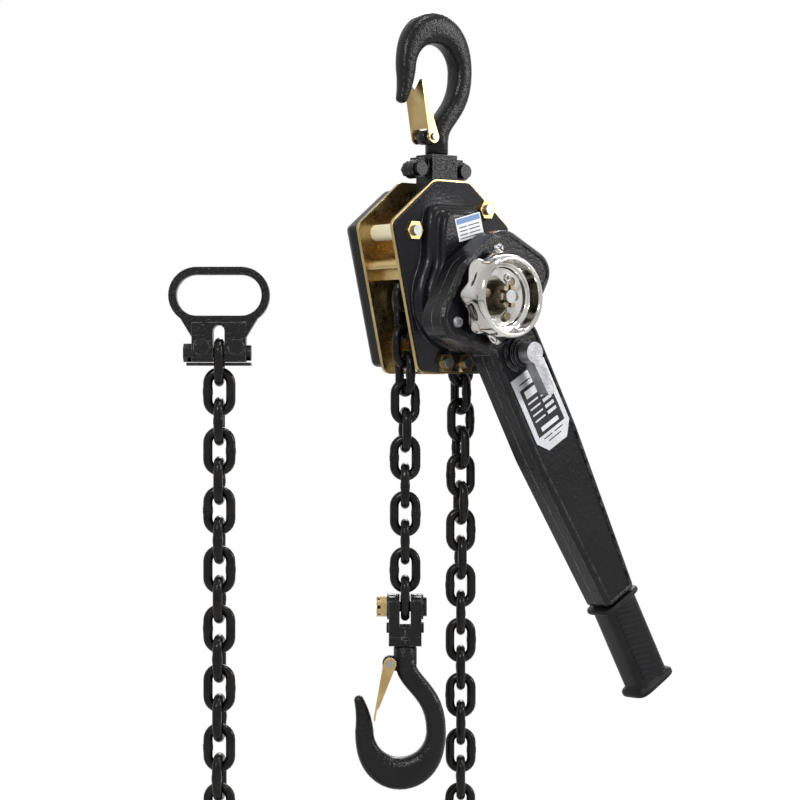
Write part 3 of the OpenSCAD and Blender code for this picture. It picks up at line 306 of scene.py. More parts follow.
# %% Drifting tone
drift, start, end = new_group(
    "drifting_tone",
    [("Vector", "Vector", None), ("Scale", "Float", 20.0), ("First", "Color", (0.5, 0.5, 0.5, 1)),
     ("Second", "Color", (0.4, 0.4, 0.4, 1))],
    [("Color", "Color")])
clouds = add(drift, "ShaderNodeTexNoise", {"Detail": 4.0, "Distortion": 0.6})
spread = add(drift, "ShaderNodeMapRange", {"From Min": 0.34, "From Max": 0.66}, clamp=True)
tone = add(drift, "ShaderNodeMix", data_type="RGBA")
join(drift, (start, "Vector", clouds, "Vector"), (start, "Scale", clouds, "Scale"),
     (clouds, "Fac", spread, "Value"), (spread, "Result", tone, "Factor"),
     (start, "First", tone, "A"), (start, "Second", tone, "B"), (tone, "Result", end, "Color"))
print("group", drift.name)


# %% [markdown]
# ## Finishes
# The hoist wears thick glossy paint, yellow zinc plate, chrome, rubber and bare steel. Every finish is
# built by one function: two close tones drift over the piece, grain gives the bumps, and a third tone
# lies along the edges, as wear and, on the black paint, as a painted highlight line. What is the same
# all over is set on the shader's own sockets, where the export finds it.

# %% One function for every finish
finishes = {}


def finish(name, first, second, rough, grainy, metallic=0.0, edge_wear_and_highlight=None, drift_scale=25.0,
           edge_mm=0.5, gloss=0.5, rough_spread=0.12):
    """Keeps a material by its name. grainy is (scale, height), and the edge tone is (tone, amount, radius
    in mm): wear, and on black paint a painted highlight line.
    """
    material = bpy.data.materials.new(name)
    material.use_nodes = True
    tree = material.node_tree
    shader = tree.nodes["Principled BSDF"]
    shader.inputs["Metallic"].default_value = metallic
    shader.inputs["Specular IOR Level"].default_value = gloss
    place = add(tree, "ShaderNodeTexCoord")
    tones = add(tree, "ShaderNodeGroup", {"Scale": drift_scale, "First": (*first, 1),
                                          "Second": (*second, 1)}, node_tree=drift)
    surface = add(tree, "ShaderNodeGroup", {"Scale": grainy[0], "Height": grainy[1],
                                            "Edge": edge_mm * MM}, node_tree=grain)
    uneven = add(tree, "ShaderNodeMapRange", {"From Min": 0.3, "From Max": 0.7,
                                              "To Min": rough - rough_spread / 2,
                                              "To Max": rough + rough_spread / 2}, clamp=True)
    join(tree, (place, "Object", tones, "Vector"), (place, "Object", surface, "Vector"),
         (surface, "Speckle", uneven, "Value"), (uneven, "Result", shader, "Roughness"),
         (surface, "Normal", shader, "Normal"))
    # The edge tone is wear, and on the black paint it is also a painted highlight line.
    if edge_wear_and_highlight:
        edge_wear_and_highlight_tone, amount, radius = edge_wear_and_highlight
        edge_wear_and_highlight_mask = add(tree, "ShaderNodeGroup", {"Amount": amount, "Radius": radius * MM}, node_tree=wear_and_highlight)
        over = add(tree, "ShaderNodeMix", {"B": (*edge_wear_and_highlight_tone, 1)}, data_type="RGBA")
        join(tree, (place, "Object", edge_wear_and_highlight_mask, "Vector"), (edge_wear_and_highlight_mask, "Mask", over, "Factor"),
             (tones, "Color", over, "A"), (over, "Result", shader, "Base Color"))
    else:
        join(tree, (tones, "Color", shader, "Base Color"))
    finishes[name] = material


print("finish function ready")

# %% Black paint, rubber and chain
INK = (0.003, 0.003, 0.004)
BARE = (0.36, 0.35, 0.33)
# On these black paints the lighter edge tone is a painted highlight line along the edges as well as wear.
finish("hook_paint", INK, (0.006, 0.006, 0.007), 0.22, (360, 0.6),
       edge_wear_and_highlight=((0.14, 0.14, 0.15), 0.5, 1.2), edge_mm=0.8, gloss=0.2)
finish("black_casting", INK, (0.006, 0.006, 0.007), 0.22, (380, 0.6),
       edge_wear_and_highlight=((0.20, 0.20, 0.21), 0.9, 1.2), edge_mm=0.8, gloss=0.2)
finish("cover_paint", INK, (0.007, 0.007, 0.009), 0.22, (380, 0.35),
       edge_wear_and_highlight=((0.14, 0.14, 0.15), 0.5, 1.4), edge_mm=1.0, gloss=0.2)
finish("lever_paint", INK, (0.007, 0.007, 0.008), 0.22, (380, 0.4),
       edge_wear_and_highlight=((0.24, 0.24, 0.25), 0.9, 1.2), edge_mm=0.9, gloss=0.2)
finish("black_fastener", (0.004, 0.004, 0.005), (0.008, 0.008, 0.008), 0.26, (900, 0.1),
       edge_wear_and_highlight=(BARE, 0.5, 0.8), gloss=0.2)
finish("grip_rubber", (0.004, 0.004, 0.005), (0.008, 0.008, 0.009), 0.42, (1400, 0.2),
       edge_mm=0.7, gloss=0.16)
finish("chain_black", (0.002, 0.002, 0.003), (0.008, 0.007, 0.006), 0.22, (420, 0.25),
       drift_scale=60, gloss=0.16)
print("finishes so far", len(finishes))

# %% Plated and bare metal
finish("yellow_zinc", (0.56, 0.43, 0.20), (0.36, 0.25, 0.11), 0.30, (300, 0.02), metallic=1.0,
       edge_wear_and_highlight=((0.80, 0.71, 0.50), 0.7, 0.8), drift_scale=30)
# The chrome's darker brownish tone is partly a drift of the plating and partly a painted brown reflection.
finish("wheel_chrome", (0.60, 0.59, 0.57), (0.36, 0.34, 0.31), 0.10, (260, 0.05), metallic=1.0,
       drift_scale=30, edge_mm=0.8, rough_spread=0.08)
finish("zinc_screw", (0.42, 0.42, 0.44), (0.28, 0.28, 0.30), 0.40, (420, 0.3), metallic=1.0,
       drift_scale=90)
finish("dark_nut", (0.10, 0.085, 0.06), (0.22, 0.18, 0.12), 0.34, (500, 0.2), metallic=0.9,
       edge_wear_and_highlight=((0.5, 0.42, 0.28), 0.8, 0.6), drift_scale=60)
finish("steel", (0.34, 0.34, 0.34), (0.24, 0.24, 0.24), 0.36, (500, 0.05), metallic=1.0,
       drift_scale=40)
finish("sheave_iron", (0.06, 0.055, 0.05), (0.10, 0.095, 0.09), 0.45, (500, 0.4), metallic=0.6,
       edge_wear_and_highlight=(BARE, 0.6, 1.0))
finish("tag_aluminium", (0.60, 0.61, 0.63), (0.52, 0.53, 0.55), 0.34, (700, 0.08), metallic=0.9)
print("finishes so far", len(finishes))

# %% Tubes, linings and films
finish("tube_cream", (0.72, 0.66, 0.48), (0.64, 0.58, 0.42), 0.45, (500, 0.15))
finish("friction_lining", (0.16, 0.10, 0.06), (0.22, 0.15, 0.10), 0.7, (900, 0.5))
finish("label_film", (0.80, 0.81, 0.82), (0.76, 0.77, 0.79), 0.35, (700, 0.05))
finish("black_film", (0.006, 0.006, 0.007), (0.012, 0.012, 0.013), 0.28, (900, 0.05),
       edge_mm=0.05, gloss=0.35)
finish("pale_film", (0.62, 0.63, 0.65), (0.56, 0.57, 0.59), 0.34, (900, 0.05), edge_mm=0.05)
finish("blue_film", (0.10, 0.22, 0.46), (0.09, 0.20, 0.42), 0.32, (900, 0.05), edge_mm=0.05)
print("finishes", len(finishes))

# %% Every solid in its finish
for part in frame["record"]["subparts"]:
    slots = nodes[part["node"]].data.materials
    slots.clear()
    slots.append(finishes[part["material_slot"]])


# %% [markdown]
# ## Mesh helpers
# Most pieces here are skins over rings of points, or bodies turned round an axis. Primitives and
# modifiers could make some of them, but a ring can follow any rule, and its place is exact. One helper
# joins the rings, closes the ends and turns all faces outwards. Another hands the piece to its body.

# %% From rings to a mesh
MERGE = 1e-6


def skin(work, rings, closed):
    """Faces over rings of points in mm. A closed skin meets itself, and an open one gets two caps."""
    rows = [[work.verts.new(Vector(p) * MM) for p in ring] for ring in rings]
    for a, b in zip(rows, rows[1:] + (rows[:1] if closed else [])):
        for k in range(len(a)):
            n = (k + 1) % len(a)
            work.faces.new((a[k], a[n], b[n], b[k]))
    if not closed:
        work.faces.new(list(reversed(rows[0])))
        work.faces.new(rows[-1])


def mesh_of(name, skins, paint=None, closed=False, smooth=True):
    """A mesh in metres from skins, in a finish."""
    work = bmesh.new()
    for rings in skins:
        skin(work, rings, closed)
    bmesh.ops.remove_doubles(work, verts=work.verts, dist=MERGE)
    bmesh.ops.recalc_face_normals(work, faces=work.faces)
    data = bpy.data.meshes.new(name)
    work.to_mesh(data)
    work.free()
    if smooth:
        data.shade_smooth()
    if paint:
        data.materials.append(finishes[paint])
    return data


print("mesh helpers ready")


# %% From a mesh to a piece
def hand_over(data, body, slot, *replaced):
    """An object at the origin that rides on a body and stands for the named nodes."""
    piece = put_in_scene(data.name, data)
    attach(piece, body)
    for node in replaced:
        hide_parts(node)
    return piece


print("piece helper ready")


# %% Rings, corners and places
def lathe(profile, steps, place):
    """Rings for a profile of (radius, height) turned about an axis. place maps (x, y, h) to mm."""
    return [[place(r * math.cos(q), r * math.sin(q), h)
             for q in (2 * math.pi * k / steps for k in range(steps))] for r, h in profile]


def soft_box(w, t, steps, power):
    """Points round a box section of w by t with soft corners. A lower power is squarer."""
    turns = [2 * math.pi * k / steps for k in range(steps)]
    return [(w / 2 * math.copysign(abs(math.cos(q)) ** power, math.cos(q)),
             t / 2 * math.copysign(abs(math.sin(q)) ** power, math.sin(q))) for q in turns]


def oblong(u, v, w, h):
    """A rectangle's corners round its middle."""
    return [(u - w / 2, v - h / 2), (u + w / 2, v - h / 2), (u + w / 2, v + h / 2), (u - w / 2, v + h / 2)]


def move(x, y, z):
    """A matrix that moves."""
    return Matrix.Translation((x, y, z))


def turn(degrees, axis):
    """A matrix that turns about X, Y or Z."""
    return Matrix.Rotation(math.radians(degrees), 4, axis)


print("shape helpers ready")


# %% [markdown]
# ## Hooks
# A forged hook is one bar that swells at the crown and thins to a round tip. It could be sculpted, but
# a forging follows a rule: rings of points run along its middle line, each as wide and thick as the
# bar is there. The shank and its collar are turned, and a lug on a short web carries the latch. The
# bottom hook is the same one upside down, turned towards the left.

# %% Sizes of a hook
BOWL_R, BOWL_X, CROWN_W, SIDE_W, FAR_W = 22.5, -4.5, 28.0, 17.0, 16.0
HOOK_T, FAR_T, TIP_W, TIP_T = 21.0, 15.0, 7.0, 9.0
NECK_Z, NECK_W, COLLAR_R, SHANK_R = -76.0, 18.0, 10.0, 7.0
LUG_X, LUG_Z = -13.0, -80.0
NECK_STEPS, BOWL_STEPS, TIP_STEPS, SECTION_STEPS = 12, 32, 11, 24
SECTION_POWER = 0.66
DOME = (20, 40, 58, 72, 82, 87)
BOWL_Z = -math.sqrt(BOWL_R ** 2 - BOWL_X ** 2)
SIDE_X = BOWL_X + BOWL_R + SIDE_W / 2
FAR_X = BOWL_X - BOWL_R - FAR_W / 2
print("the bowl's middle is at z %.2f" % BOWL_Z)


# %% Stations along the bar
def bezier(p, t):
    """A point of a cubic curve."""
    a, b, c, d = ((1 - t) ** 3, 3 * t * (1 - t) ** 2, 3 * t * t * (1 - t), t ** 3)
    return [a * p[0][i] + b * p[1][i] + c * p[2][i] + d * p[3][i] for i in (0, 1)]


def between(a, b, t):
    """From a to b as t goes from 0 to 1."""
    return a + (b - a) * t


def bar_width(a):
    """Depth of the bar round the bowl, at angle a in radians."""
    side = SIDE_W if a < math.pi / 2 else FAR_W
    return CROWN_W * math.sin(a) ** 2 + side * math.cos(a) ** 2


def hook_stations():
    """Rows of centre x, centre z, width and thickness: neck, bowl, tip and the tip's dome."""
    neck = [(0, NECK_Z - 6), (0, NECK_Z + 14), (SIDE_X, BOWL_Z - 36), (SIDE_X, BOWL_Z)]
    tip = [(FAR_X, BOWL_Z), (FAR_X, BOWL_Z - 12), (FAR_X - 3, BOWL_Z - 22), (FAR_X - 6, BOWL_Z - 30)]
    rows = []
    for i in range(NECK_STEPS):
        t = i / NECK_STEPS
        rows.append(bezier(neck, t) + [between(NECK_W, SIDE_W, t), between(NECK_W, HOOK_T, t)])
    for i in range(BOWL_STEPS + 1):
        a = math.pi * i / BOWL_STEPS
        w = bar_width(a)
        r = BOWL_R + w / 2
        rows.append([BOWL_X + r * math.cos(a), BOWL_Z + r * math.sin(a), w,
                     HOOK_T + (FAR_T - HOOK_T) * max(math.degrees(a) - 90, 0) / 90])
    for i in range(1, TIP_STEPS + 1):
        t = i / TIP_STEPS
        rows.append(bezier(tip, t) + [between(FAR_W, TIP_W, t), between(FAR_T, TIP_T, t)])
    end_x, end_z, end_w, end_t = rows.pop()
    base_x, base_z = rows[-1][:2]
    for q in DOME:
        s, c = math.sin(math.radians(q)), math.cos(math.radians(q))
        rows.append([between(base_x, end_x, s), between(base_z, end_z, s), end_w * c, end_t * c])
    return rows


print("stations", len(hook_stations()))


# %% Rings and turned ends
def hook_rings():
    """Rings of a rounded box section round each station."""
    rows = hook_stations()
    rings = []
    for i, (x, z, w, t) in enumerate(rows):
        a, b = rows[max(i - 1, 0)], rows[min(i + 1, len(rows) - 1)]
        step = Vector((b[0] - a[0], b[1] - a[1])).normalized()
        rings.append([(x + step.y * u, v, z - step.x * u)
                      for u, v in soft_box(w, t, SECTION_STEPS, SECTION_POWER)])
    return rings


def shank_rings():
    """The shank with its head and collar, turned about Z."""
    head = -HOOK_REACH - HEAD_H - YOKE_WALL
    profile = [(10.4, head), (10.5, head + 4.5), (SHANK_R, head + 5.1), (SHANK_R, -HOOK_REACH + 0.4),
               (9.2, -HOOK_REACH + 0.5), (COLLAR_R, -HOOK_REACH + 1.6), (COLLAR_R, NECK_Z - 3),
               (8.9, NECK_Z + 2), (7.5, NECK_Z + 3)]
    return lathe(profile, 40, lambda x, y, h: (x, y, h))


def lug_rings():
    """The latch's lug, turned about its pin, which lies along Y."""
    profile = [(5.9, -5), (6.5, -4.4), (6.5, 4.4), (5.9, 5)]
    return lathe(profile, 28, lambda x, y, h: (LUG_X + x, h, LUG_Z + y))


def web_rings():
    """The short web between the lug and the neck."""
    return [[(LUG_X + dx, y, LUG_Z + z) for y, z in oblong(0, 0, 9.2, 12.4)] for dx in (0, 8)]


print("hook parts ready")


# %% Both hooks
def make_hook(name, body, place):
    """A hook whose saddle is at the origin, then moved by place, a matrix in metres."""
    data = mesh_of(name, [hook_rings(), shank_rings(), lug_rings(), web_rings()], "hook_paint")
    data.transform(place)
    if place.determinant() < 0:
        data.flip_normals()
    return hand_over(data, body, "hook_paint", body)


top_hook = make_hook("forged_top_hook", "top_hook", Matrix.Identity(4))
upside_down = Matrix.Scale(-1, 4, (0, 0, 1))
bottom_hook = make_hook("forged_bottom_hook", "bottom_hook",
                        move(LOAD_X * MM, 0, BOTTOM_Z * MM) @ turn(-HOOK_TURN, "Z") @ upside_down)
for hook, node in ((top_hook, "top_hook"), (bottom_hook, "bottom_hook")):
    low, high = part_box(node)
    print(hook.name, len(hook.data.vertices), "points; solid", [round(v * 1000) for v in high - low])


# %% [markdown]
# ## Chain
# One link is a wire bent into an oval and welded on one leg. Copying objects by hand would give dozens
# of pieces to keep in step. Instead the link is made once, and Geometry Nodes puts a copy on every
# point of a strand, turned as the point's own numbers say. Realize Instances then makes real faces.

# %% One link
ARC_STEPS, LINK_SIDES = 12, 14
WELD = ((-4.2, 1.0), (-2.2, 1.06), (-1.2, 1.115), (0, 1.07), (1.2, 1.115), (2.2, 1.06), (4.2, 1.0))


def link_rings():
    """Rings along the wire, long in Z and flat in XZ, with the weld's swelling on the +X leg."""
    stations = []
    for side in (1, -1):
        for k in range(ARC_STEPS + 1):
            q = math.pi * k / ARC_STEPS
            stations.append((side * LINK_R * math.cos(q), side * (STRAIGHT / 2 + LINK_R * math.sin(q)),
                             side * math.cos(q), side * math.sin(q), 1.0))
    stations += [(LINK_R, dz, 1.0, 0.0, swell) for dz, swell in WELD]
    rings = []
    for x, z, out_x, out_z, swell in stations:
        ring = []
        for k in range(LINK_SIDES):
            q = 2 * math.pi * k / LINK_SIDES
            u, v = swell * WIRE / 2 * math.cos(q), swell * WIRE / 2 * math.sin(q)
            ring.append((x + u * out_x, v, z + u * out_z))
        rings.append(ring)
    return rings


link_pattern = put_in_scene("link_pattern", mesh_of("link", [link_rings()], closed=True))
print("a link has", len(link_pattern.data.polygons), "faces")

# %% The tree that places copies
placer, start, end = new_group(
    "place_on_points",
    [("Geometry", "Geometry", None), ("Pattern", "Object", None), ("Material", "Material", None),
     ("Size", "Float", 1.0)],
    [("Geometry", "Geometry")], kind="GeometryNodeTree")
info = add(placer, "GeometryNodeObjectInfo")
angles = add(placer, "GeometryNodeInputNamedAttribute", {"Name": "angles"}, data_type="FLOAT_VECTOR")
put = add(placer, "GeometryNodeInstanceOnPoints")
real = add(placer, "GeometryNodeRealizeInstances")
dress = add(placer, "GeometryNodeSetMaterial")
join(placer, (start, "Pattern", info, "Object"), (start, "Geometry", put, "Points"),
     (info, "Geometry", put, "Instance"), (angles, "Attribute", put, "Rotation"),
     (start, "Size", put, "Scale"), (put, "Instances", real, "Geometry"),
     (real, "Geometry", dress, "Geometry"), (start, "Material", dress, "Material"),
     (dress, "Geometry", end, "Geometry"))
print("tree", placer.name, "with", len(placer.nodes), "nodes")


# %% Copies as one plain mesh
def scatter(name, places, pattern, body, slot, *replaced):
    """A piece with a copy of the pattern at every place, a matrix in mm."""
    cloud = bpy.data.meshes.new(name + "_points")
    cloud.from_pydata([(m.translation * MM)[:] for m in places], [], [])
    turns = cloud.attributes.new("angles", "FLOAT_VECTOR", "POINT")
    for i, m in enumerate(places):
        turns.data[i].vector = m.to_euler("XYZ")
    holder = put_in_scene(name + "_holder", cloud)
    modifier = holder.modifiers.new("place", "NODES")
    modifier.node_group = placer
    sockets = {s.name: s.identifier for s in placer.interface.items_tree
               if s.item_type == "SOCKET" and s.in_out == "INPUT"}
    for label, value in (("Pattern", pattern), ("Material", finishes[slot]), ("Size", 1.0)):
        modifier[sockets[label]] = value
    bpy.context.view_layer.update()
    graph = bpy.context.evaluated_depsgraph_get()
    data = bpy.data.meshes.new_from_object(holder.evaluated_get(graph))
    data.name = name
    bpy.data.objects.remove(holder)
    return hand_over(data, body, slot, *replaced)


print("scatter ready")


# %% Places of the links
def strand(x, top, count, roll, twist, twist_from, twist_links):
    """Places of a straight strand's links, top down. The twist is shared out over twist_links."""
    places = []
    for k in range(count):
        twisted = min(max(k - twist_from, 0), twist_links)
        places.append(move(x, 0, top - (k + 0.5) * PITCH)
                      @ turn(roll + 90 * k + twist * twisted / twist_links, "Z"))
    return places


load_places = strand(LOAD_X, LOAD_TOP, LOAD_LINKS, 90, -HOOK_TURN, 1, 4)
tail_places = strand(TAIL_X, TAIL_TOP, TAIL_LINKS, 0, -HOOK_TURN, 1, 10)
tail_places += strand(RING_X, RING_Z, RING_LINKS, 90 - HOOK_TURN, 2 * HOOK_TURN - 90, 0, RING_LINKS - 1)
for k in range(LOOP_LINKS):
    tail_places.append(move(TAIL_X - LOOP_R, 0, LOOP_Z) @ turn(LOOP_TURN * (k + 0.5), "Y")
                       @ move(LOOP_R * math.cos(math.radians(LOOP_TURN / 2)), 0, 0)
                       @ turn(-HOOK_TURN + 90 * (TAIL_LINKS + k), "Z"))
sheave_places = []
for k in (0, 1):
    for angle, radius, roll in ((FLAT_AT, FLAT_R, 90), (STAND_AT, STAND_R, 0)):
        sheave_places.append(move(SHAFT_X, 0, SHAFT_Z) @ turn(90, "X") @ turn(angle + 90 * k, "Z")
                             @ move(radius, 0, 0) @ turn(-90, "X") @ turn(roll, "Z"))
print("links", len(load_places), len(tail_places), len(sheave_places))

# %% Strands of chain
chain = [scatter("load_links", load_places, link_pattern, "load_strand", "chain_black", "load_chain"),
         scatter("tail_links", tail_places, link_pattern, "tail_strand", "chain_black",
                 "tail_chain", "chain_loop", "ring_chain"),
         scatter("sheave_run", sheave_places, link_pattern, "sheave", "chain_black", "sheave_links")]
bpy.data.objects.remove(link_pattern)
print("chain faces", [len(piece.data.polygons) for piece in chain])


# %% [markdown]
# ## Handwheel
# The wheel is a chromed casting: a lobed flange to grip, a smooth rim and a deep cup. A Screw modifier
# could turn its profile, but not its lobes. So each ring is drawn point by point, and the rings of the
# flange swell and draw in eight times round, which gives the soft lobes that a hand expects.

# %% Lobed wheel
LEVER_FRONT_Y = -76.2
WHEEL_BACK_Y = LEVER_FRONT_Y - 2
LOBE_DEPTH, WHEEL_STEPS, LOBES = 5.6, 192, 8
# Radius, height over the wheel's back, and share of the lobes' depth.
WHEEL_PROFILE = [(5.6, 0, 0), (20, 0, 0), (33.0, 0, 0.8), (37.2, 0.6, 1), (39.6, 2.0, 1), (41.0, 4.6, 1),
                 (40.4, 7.4, 1), (38.6, 9.8, 0.8), (37.3, 12.4, 0.3), (36.4, 15.5, 0), (35.4, 19.5, 0),
                 (34.9, 22.0, 0), (34.0, 24.0, 0), (32.6, 25.0, 0), (31.4, 24.9, 0), (30.4, 23.8, 0),
                 (29.9, 22.0, 0), (29.0, 14.2, 0), (28.6, 13.2, 0), (27.4, 12.9, 0), (25.4, 12.9, 0),
                 (24.8, 12.4, 0), (24.6, 9.4, 0), (24.0, 9.0, 0), (5.6, 9.0, 0)]


def wheel_rings():
    """Rings of the wheel, from the hole at its back round the rim to the hole in its floor."""
    rings = []
    for r, h, lobed in WHEEL_PROFILE:
        ring = []
        for k in range(WHEEL_STEPS):
            q = 2 * math.pi * k / WHEEL_STEPS
            dip = LOBE_DEPTH * lobed * (0.5 - 0.5 * math.cos(LOBES * q))
            ring.append((SHAFT_X + (r - dip) * math.cos(q), WHEEL_BACK_Y - h,
                         SHAFT_Z + (r - dip) * math.sin(q)))
        rings.append(ring)
    return rings


wheel = hand_over(mesh_of("lobed_handwheel", [wheel_rings()], "wheel_chrome", closed=True),
                  "wheel", "wheel_chrome", "handwheel")
print("wheel", len(wheel.data.polygons), "faces")


# %% [markdown]
# ## Covers
# Both covers follow the side plates' outline: six sides with rounded corners. The gear cover is a
# deep pan with one soft shoulder. The brake cover has a flat flange, and its body rises in two
# rounded steps round the shaft and up a neck. A bevel would round every edge alike, where pressed
# steel has a different bend at each step, so each ring is drawn in its own amount.

# %% The plates' outline
PLATE_TOP, PLATE_H, PLATE_HALF, TOP_HALF, FOOT_HALF, CORNER_V = 102.0, 166.0, 66.0, 16.0, 39.0, 60.0
CORNER_R, CORNER_STEPS = 9, 10
FRONT_Y, REAR_Y = -24.0, 24.0


def belt_outline(circles, steps):
    """Points of a belt drawn round circles of (x, y, r), counterclockwise."""
    def normal(a, b):
        gap = math.hypot(b[0] - a[0], b[1] - a[1])
        return math.atan2(b[1] - a[1], b[0] - a[0]) - math.acos((a[2] - b[2]) / gap)
    points = []
    for i, c in enumerate(circles):
        first, last = normal(circles[i - 1], c), normal(c, circles[(i + 1) % len(circles)])
        span = (last - first) % (2 * math.pi)
        for k in range(steps + 1):
            q = first + span * k / steps
            points.append((c[0] + c[2] * math.cos(q), c[1] + c[2] * math.sin(q)))
    return points


def plate_ring(y, inset):
    """A ring at depth y that follows the plates' outline, drawn in by inset."""
    r = CORNER_R - min(inset, 4)
    d = r + inset
    foot, wide, low = PLATE_TOP - PLATE_H + d, PLATE_HALF - d, FOOT_HALF - d
    outline = belt_outline([(low, foot, r), (wide, CORNER_V, r), (TOP_HALF, PLATE_TOP - d, r),
                            (-TOP_HALF, PLATE_TOP - d, r), (-wide, CORNER_V, r), (-low, foot, r)],
                           CORNER_STEPS)
    return [(SHAFT_X + u, y, SHAFT_Z + v) for u, v in outline]


print("plate outline", len(plate_ring(0, 0)), "points")

# %% Gear cover
PAN_IN, PAN_H, SHOULDER, SHOULDER_STEPS, SEAT = 6.0, 27.0, 11.0, 8, 0.02
pan_rings = [plate_ring(REAR_Y + h, PAN_IN) for h in (SEAT, 6)]
for k in range(SHOULDER_STEPS + 1):
    q = math.pi / 2 * k / SHOULDER_STEPS
    pan_rings.append(plate_ring(REAR_Y + PAN_H - SHOULDER + (SHOULDER - SEAT) * math.sin(q),
                                PAN_IN + SHOULDER * (1 - math.cos(q)) * 0.9))
gear_pan = hand_over(mesh_of("gear_cover_pan", [pan_rings], "cover_paint"),
                     "frame", "cover_paint", "gear_cover")
print("gear cover", len(gear_pan.data.polygons), "faces")


# %% Steps of the brake cover
def bell(q, r, left, right, top):
    """Distance from the shaft to the body's edge at angle q from straight up."""
    side = left if math.sin(q) < 0 else right
    if math.cos(q) <= 0:
        return r
    neck = ((abs(math.sin(q)) / side) ** 8 + (math.cos(q) / top) ** 8) ** (-1 / 8)
    return (r ** 14 + neck ** 14) ** (1 / 14)


BODY_STEPS = 120
LOWER_STEP = (46.0, 36.0, 25.0, 80.0)
UPPER_STEP = (36.5, 27.0, 19.0, 74.0)
# Height over the plate, and how far the ring stands outside the step's own outline.
LOWER_RISE = ((1.5, 0.6), (3.0, 0), (7.5, 0), (9.8, -0.6), (11.6, -1.9), (12.7, -3.8), (13.0, -6.0))
UPPER_RISE = ((13.1, 2.6), (13.9, 1.2), (15.2, 0.2), (17.4, 0), (19.2, -0.8), (20.4, -2.3),
              (20.9, -4.2), (20.95, -6.5), (20.95, -8.0))


def body_ring(step, h, offset):
    """A ring of the body at height h over the plate."""
    ring = []
    for k in range(BODY_STEPS):
        q = 2 * math.pi * k / BODY_STEPS
        r = bell(q, *step) + offset
        ring.append((SHAFT_X + r * math.sin(q), FRONT_Y - h, SHAFT_Z + r * math.cos(q)))
    return ring


print("rings", len(LOWER_RISE) + len(UPPER_RISE))

# %% Brake cover
body_rings = [body_ring(LOWER_STEP, h, offset) for h, offset in LOWER_RISE]
body_rings += [body_ring(UPPER_STEP, h, offset) for h, offset in UPPER_RISE]
flange_rings = [plate_ring(FRONT_Y - h, inset) for h, inset in ((SEAT, 1.5), (1.7, 1.5), (2.3, 2.1))]
bell_cover = hand_over(mesh_of("stepped_brake_cover", [flange_rings, body_rings], "cover_paint"),
                       "frame", "cover_paint", "brake_cover")
print("brake cover", len(bell_cover.data.polygons), "faces")


# %% [markdown]
# ## Grip
# The rubber grip is moulded over the lever's end. Its section is a box with soft corners, wider at
# both flanges. Slanted ribs cross its face. They could be a bump in the material, but a hand grips
# them, so they are real faces: one rib is made once, and the same placing tree that laid the links
# repeats it down the face.

# %% Moulded sleeve
LEVER_ANGLE = 30
GRIP_U, GRIP_TOP, GRIP_END, GRIP_MID = 4.0, -304.4, -396.0, -15.0
GRIP_W, GRIP_T, FLANGE_W, FLANGE_T = 38.0, 26.6, 46.6, 31.6
SLEEVE_STEPS, SLEEVE_POWER = 40, 0.42
# Distance down from the grip's top, scale, and whether the ring belongs to a flange.
SLEEVE = [(0.0, 0.94, 1), (0.5, 0.985, 1), (1.2, 1, 1), (3.2, 1, 1), (4.0, 0.97, 1), (4.6, 1.0, 0),
          (6.0, 0.985, 0), (83.0, 0.985, 0), (85.6, 1.0, 0), (86.4, 0.965, 1), (87.4, 1, 1),
          (90.4, 1, 1), (91.2, 0.98, 1), (91.6, 0.93, 1)]


def lever_point(u, v, front):
    """A point of the lever's face in mm: u right, v up along the lever, front towards the viewer."""
    q = math.radians(LEVER_ANGLE)
    return (SHAFT_X + u * math.cos(q) - v * math.sin(q), LEVER_FRONT_Y - front,
            SHAFT_Z + u * math.sin(q) + v * math.cos(q))


grip_rings = []
for down, scale, flange in SLEEVE:
    w, t = (FLANGE_W, FLANGE_T) if flange else (GRIP_W, GRIP_T)
    grip_rings.append([lever_point(GRIP_U + u, GRIP_TOP - down, GRIP_MID + front)
                       for u, front in soft_box(w * scale, t * scale, SLEEVE_STEPS, SLEEVE_POWER)])
grip = hand_over(mesh_of("moulded_grip", [grip_rings], "grip_rubber"), "lever", "grip_rubber", "grip")
print("grip", len(grip.data.polygons), "faces")

# %% Ribs on its face
RIB_HALF, RIB_WIDE, RIB_HIGH, RIB_END, RIBS = 13.5, 2.9, 1.3, 0.5, 14
RIB_LEAN = math.tan(math.radians(-24))
RIB_BASE = GRIP_MID + GRIP_T / 2 - 0.6
RIB_STEP = (GRIP_TOP - GRIP_END - 16) / RIBS
origin = Vector(lever_point(0, 0, 0))
rib_rings = []
for u, high in ((-RIB_HALF, RIB_END), (-RIB_HALF + 0.8, RIB_HIGH), (RIB_HALF - 0.8, RIB_HIGH),
                (RIB_HALF, RIB_END)):
    section = ((-RIB_WIDE / 2, 0), (RIB_WIDE / 2, 0), (RIB_WIDE / 2 - 0.6, high),
               (-RIB_WIDE / 2 + 0.6, high))
    rib_rings.append([Vector(lever_point(u, u * RIB_LEAN + dv, RIB_BASE + dh)) - origin
                      for dv, dh in section])
rib_pattern = put_in_scene("rib_pattern", mesh_of("rib", [rib_rings], smooth=False))
rib_places = [move(*lever_point(GRIP_U, GRIP_TOP - 11 - k * RIB_STEP, 0)) for k in range(RIBS)]
scatter("grip_ribs", rib_places, rib_pattern, "lever", "grip_rubber")
bpy.data.objects.remove(rib_pattern)
print("ribs", RIBS, "every %.1f mm" % RIB_STEP)


# %% [markdown]
# ## Printed plates
# The rating plate on the lever and the label on the cover are thin sheets with print. An image would
# be the usual way, but plain shapes stay sharp at any size and travel with the mesh. The print is
# generic: bars in rows, each a sliver of film that stands a hair above the sheet.

# %% Sheets of film
def films(name, body, slot, shapes, low, high, point, film):
    """One object of thin sheets between two heights over a face, in a film's colour."""
    skins = [[[point(u, v, h) for u, v in shape] for h in (low, high)] for shape in shapes]
    return hand_over(mesh_of(name, skins, film, smooth=False), body, slot)


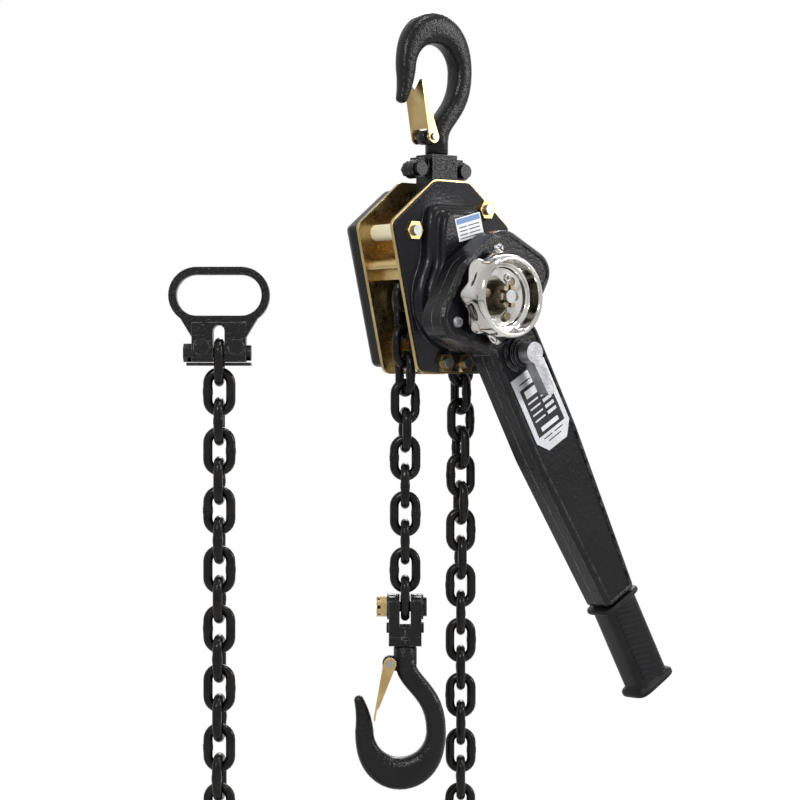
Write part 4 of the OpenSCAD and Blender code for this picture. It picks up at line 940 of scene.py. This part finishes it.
print("film helper ready")

# %% Print on the rating plate
TAG_U, TAG_V, TAG_FRONT = 5.0, -109.5, -1.4 + 0.8
small_print = [oblong(TAG_U - 8, TAG_V + 29, 14, 1.2), oblong(TAG_U + 8, TAG_V + 29, 12, 1.2),
               oblong(TAG_U - 7, TAG_V - 25, 11, 1.0), oblong(TAG_U + 7, TAG_V - 25, 11, 1.0),
               oblong(TAG_U, TAG_V - 29, 16, 1.0)]
films("tag_panel", "lever", "tag_aluminium", [oblong(TAG_U, TAG_V + 1.5, 34, 46)] + small_print,
      TAG_FRONT - 0.05, TAG_FRONT + 0.08, lever_point, "black_film")
rows = [oblong(TAG_U, TAG_V + 18, 26, 7)]
for k in range(4):
    rows.append(oblong(TAG_U - 7.5, TAG_V + 10 - 5.8 * k, 13, 1.4))
    rows.append(oblong(TAG_U + 8, TAG_V + 10 - 5.8 * k, 11, 3.0))
rows.append(oblong(TAG_U, TAG_V - 16.5, 22, 4))
films("tag_print", "lever", "tag_aluminium", rows, TAG_FRONT + 0.05, TAG_FRONT + 0.14, lever_point,
      "pale_film")
print("bars on the rating plate", len(small_print) + len(rows))

# %% Print on the cover's label
LABEL_TILT = math.radians(15)
label_low, label_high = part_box("cover_label")
label_middle = (label_low + label_high) / 2 / MM


def label_point(u, v, front):
    """A point of the cover's label in mm, round its middle."""
    return (label_middle.x + u * math.cos(LABEL_TILT) - v * math.sin(LABEL_TILT),
            label_low.y / MM - front,
            label_middle.z + u * math.sin(LABEL_TILT) + v * math.cos(LABEL_TILT))


films("label_header", "frame", "label_film", [oblong(0, 6.8, 27, 4.6)], -0.05, 0.08, label_point,
      "blue_film")
rows = [oblong(-7.5, 1.5 - 3.2 * k, 9, 0.9) for k in range(3)]
rows += [oblong(5, 1.5 - 3.2 * k, 13, 0.9) for k in range(3)]
rows.append(oblong(0, -7.8, 25, 0.7))
films("label_print", "frame", "label_film", rows, -0.05, 0.08, label_point, "black_film")
print("label middle", [round(v, 1) for v in label_middle])
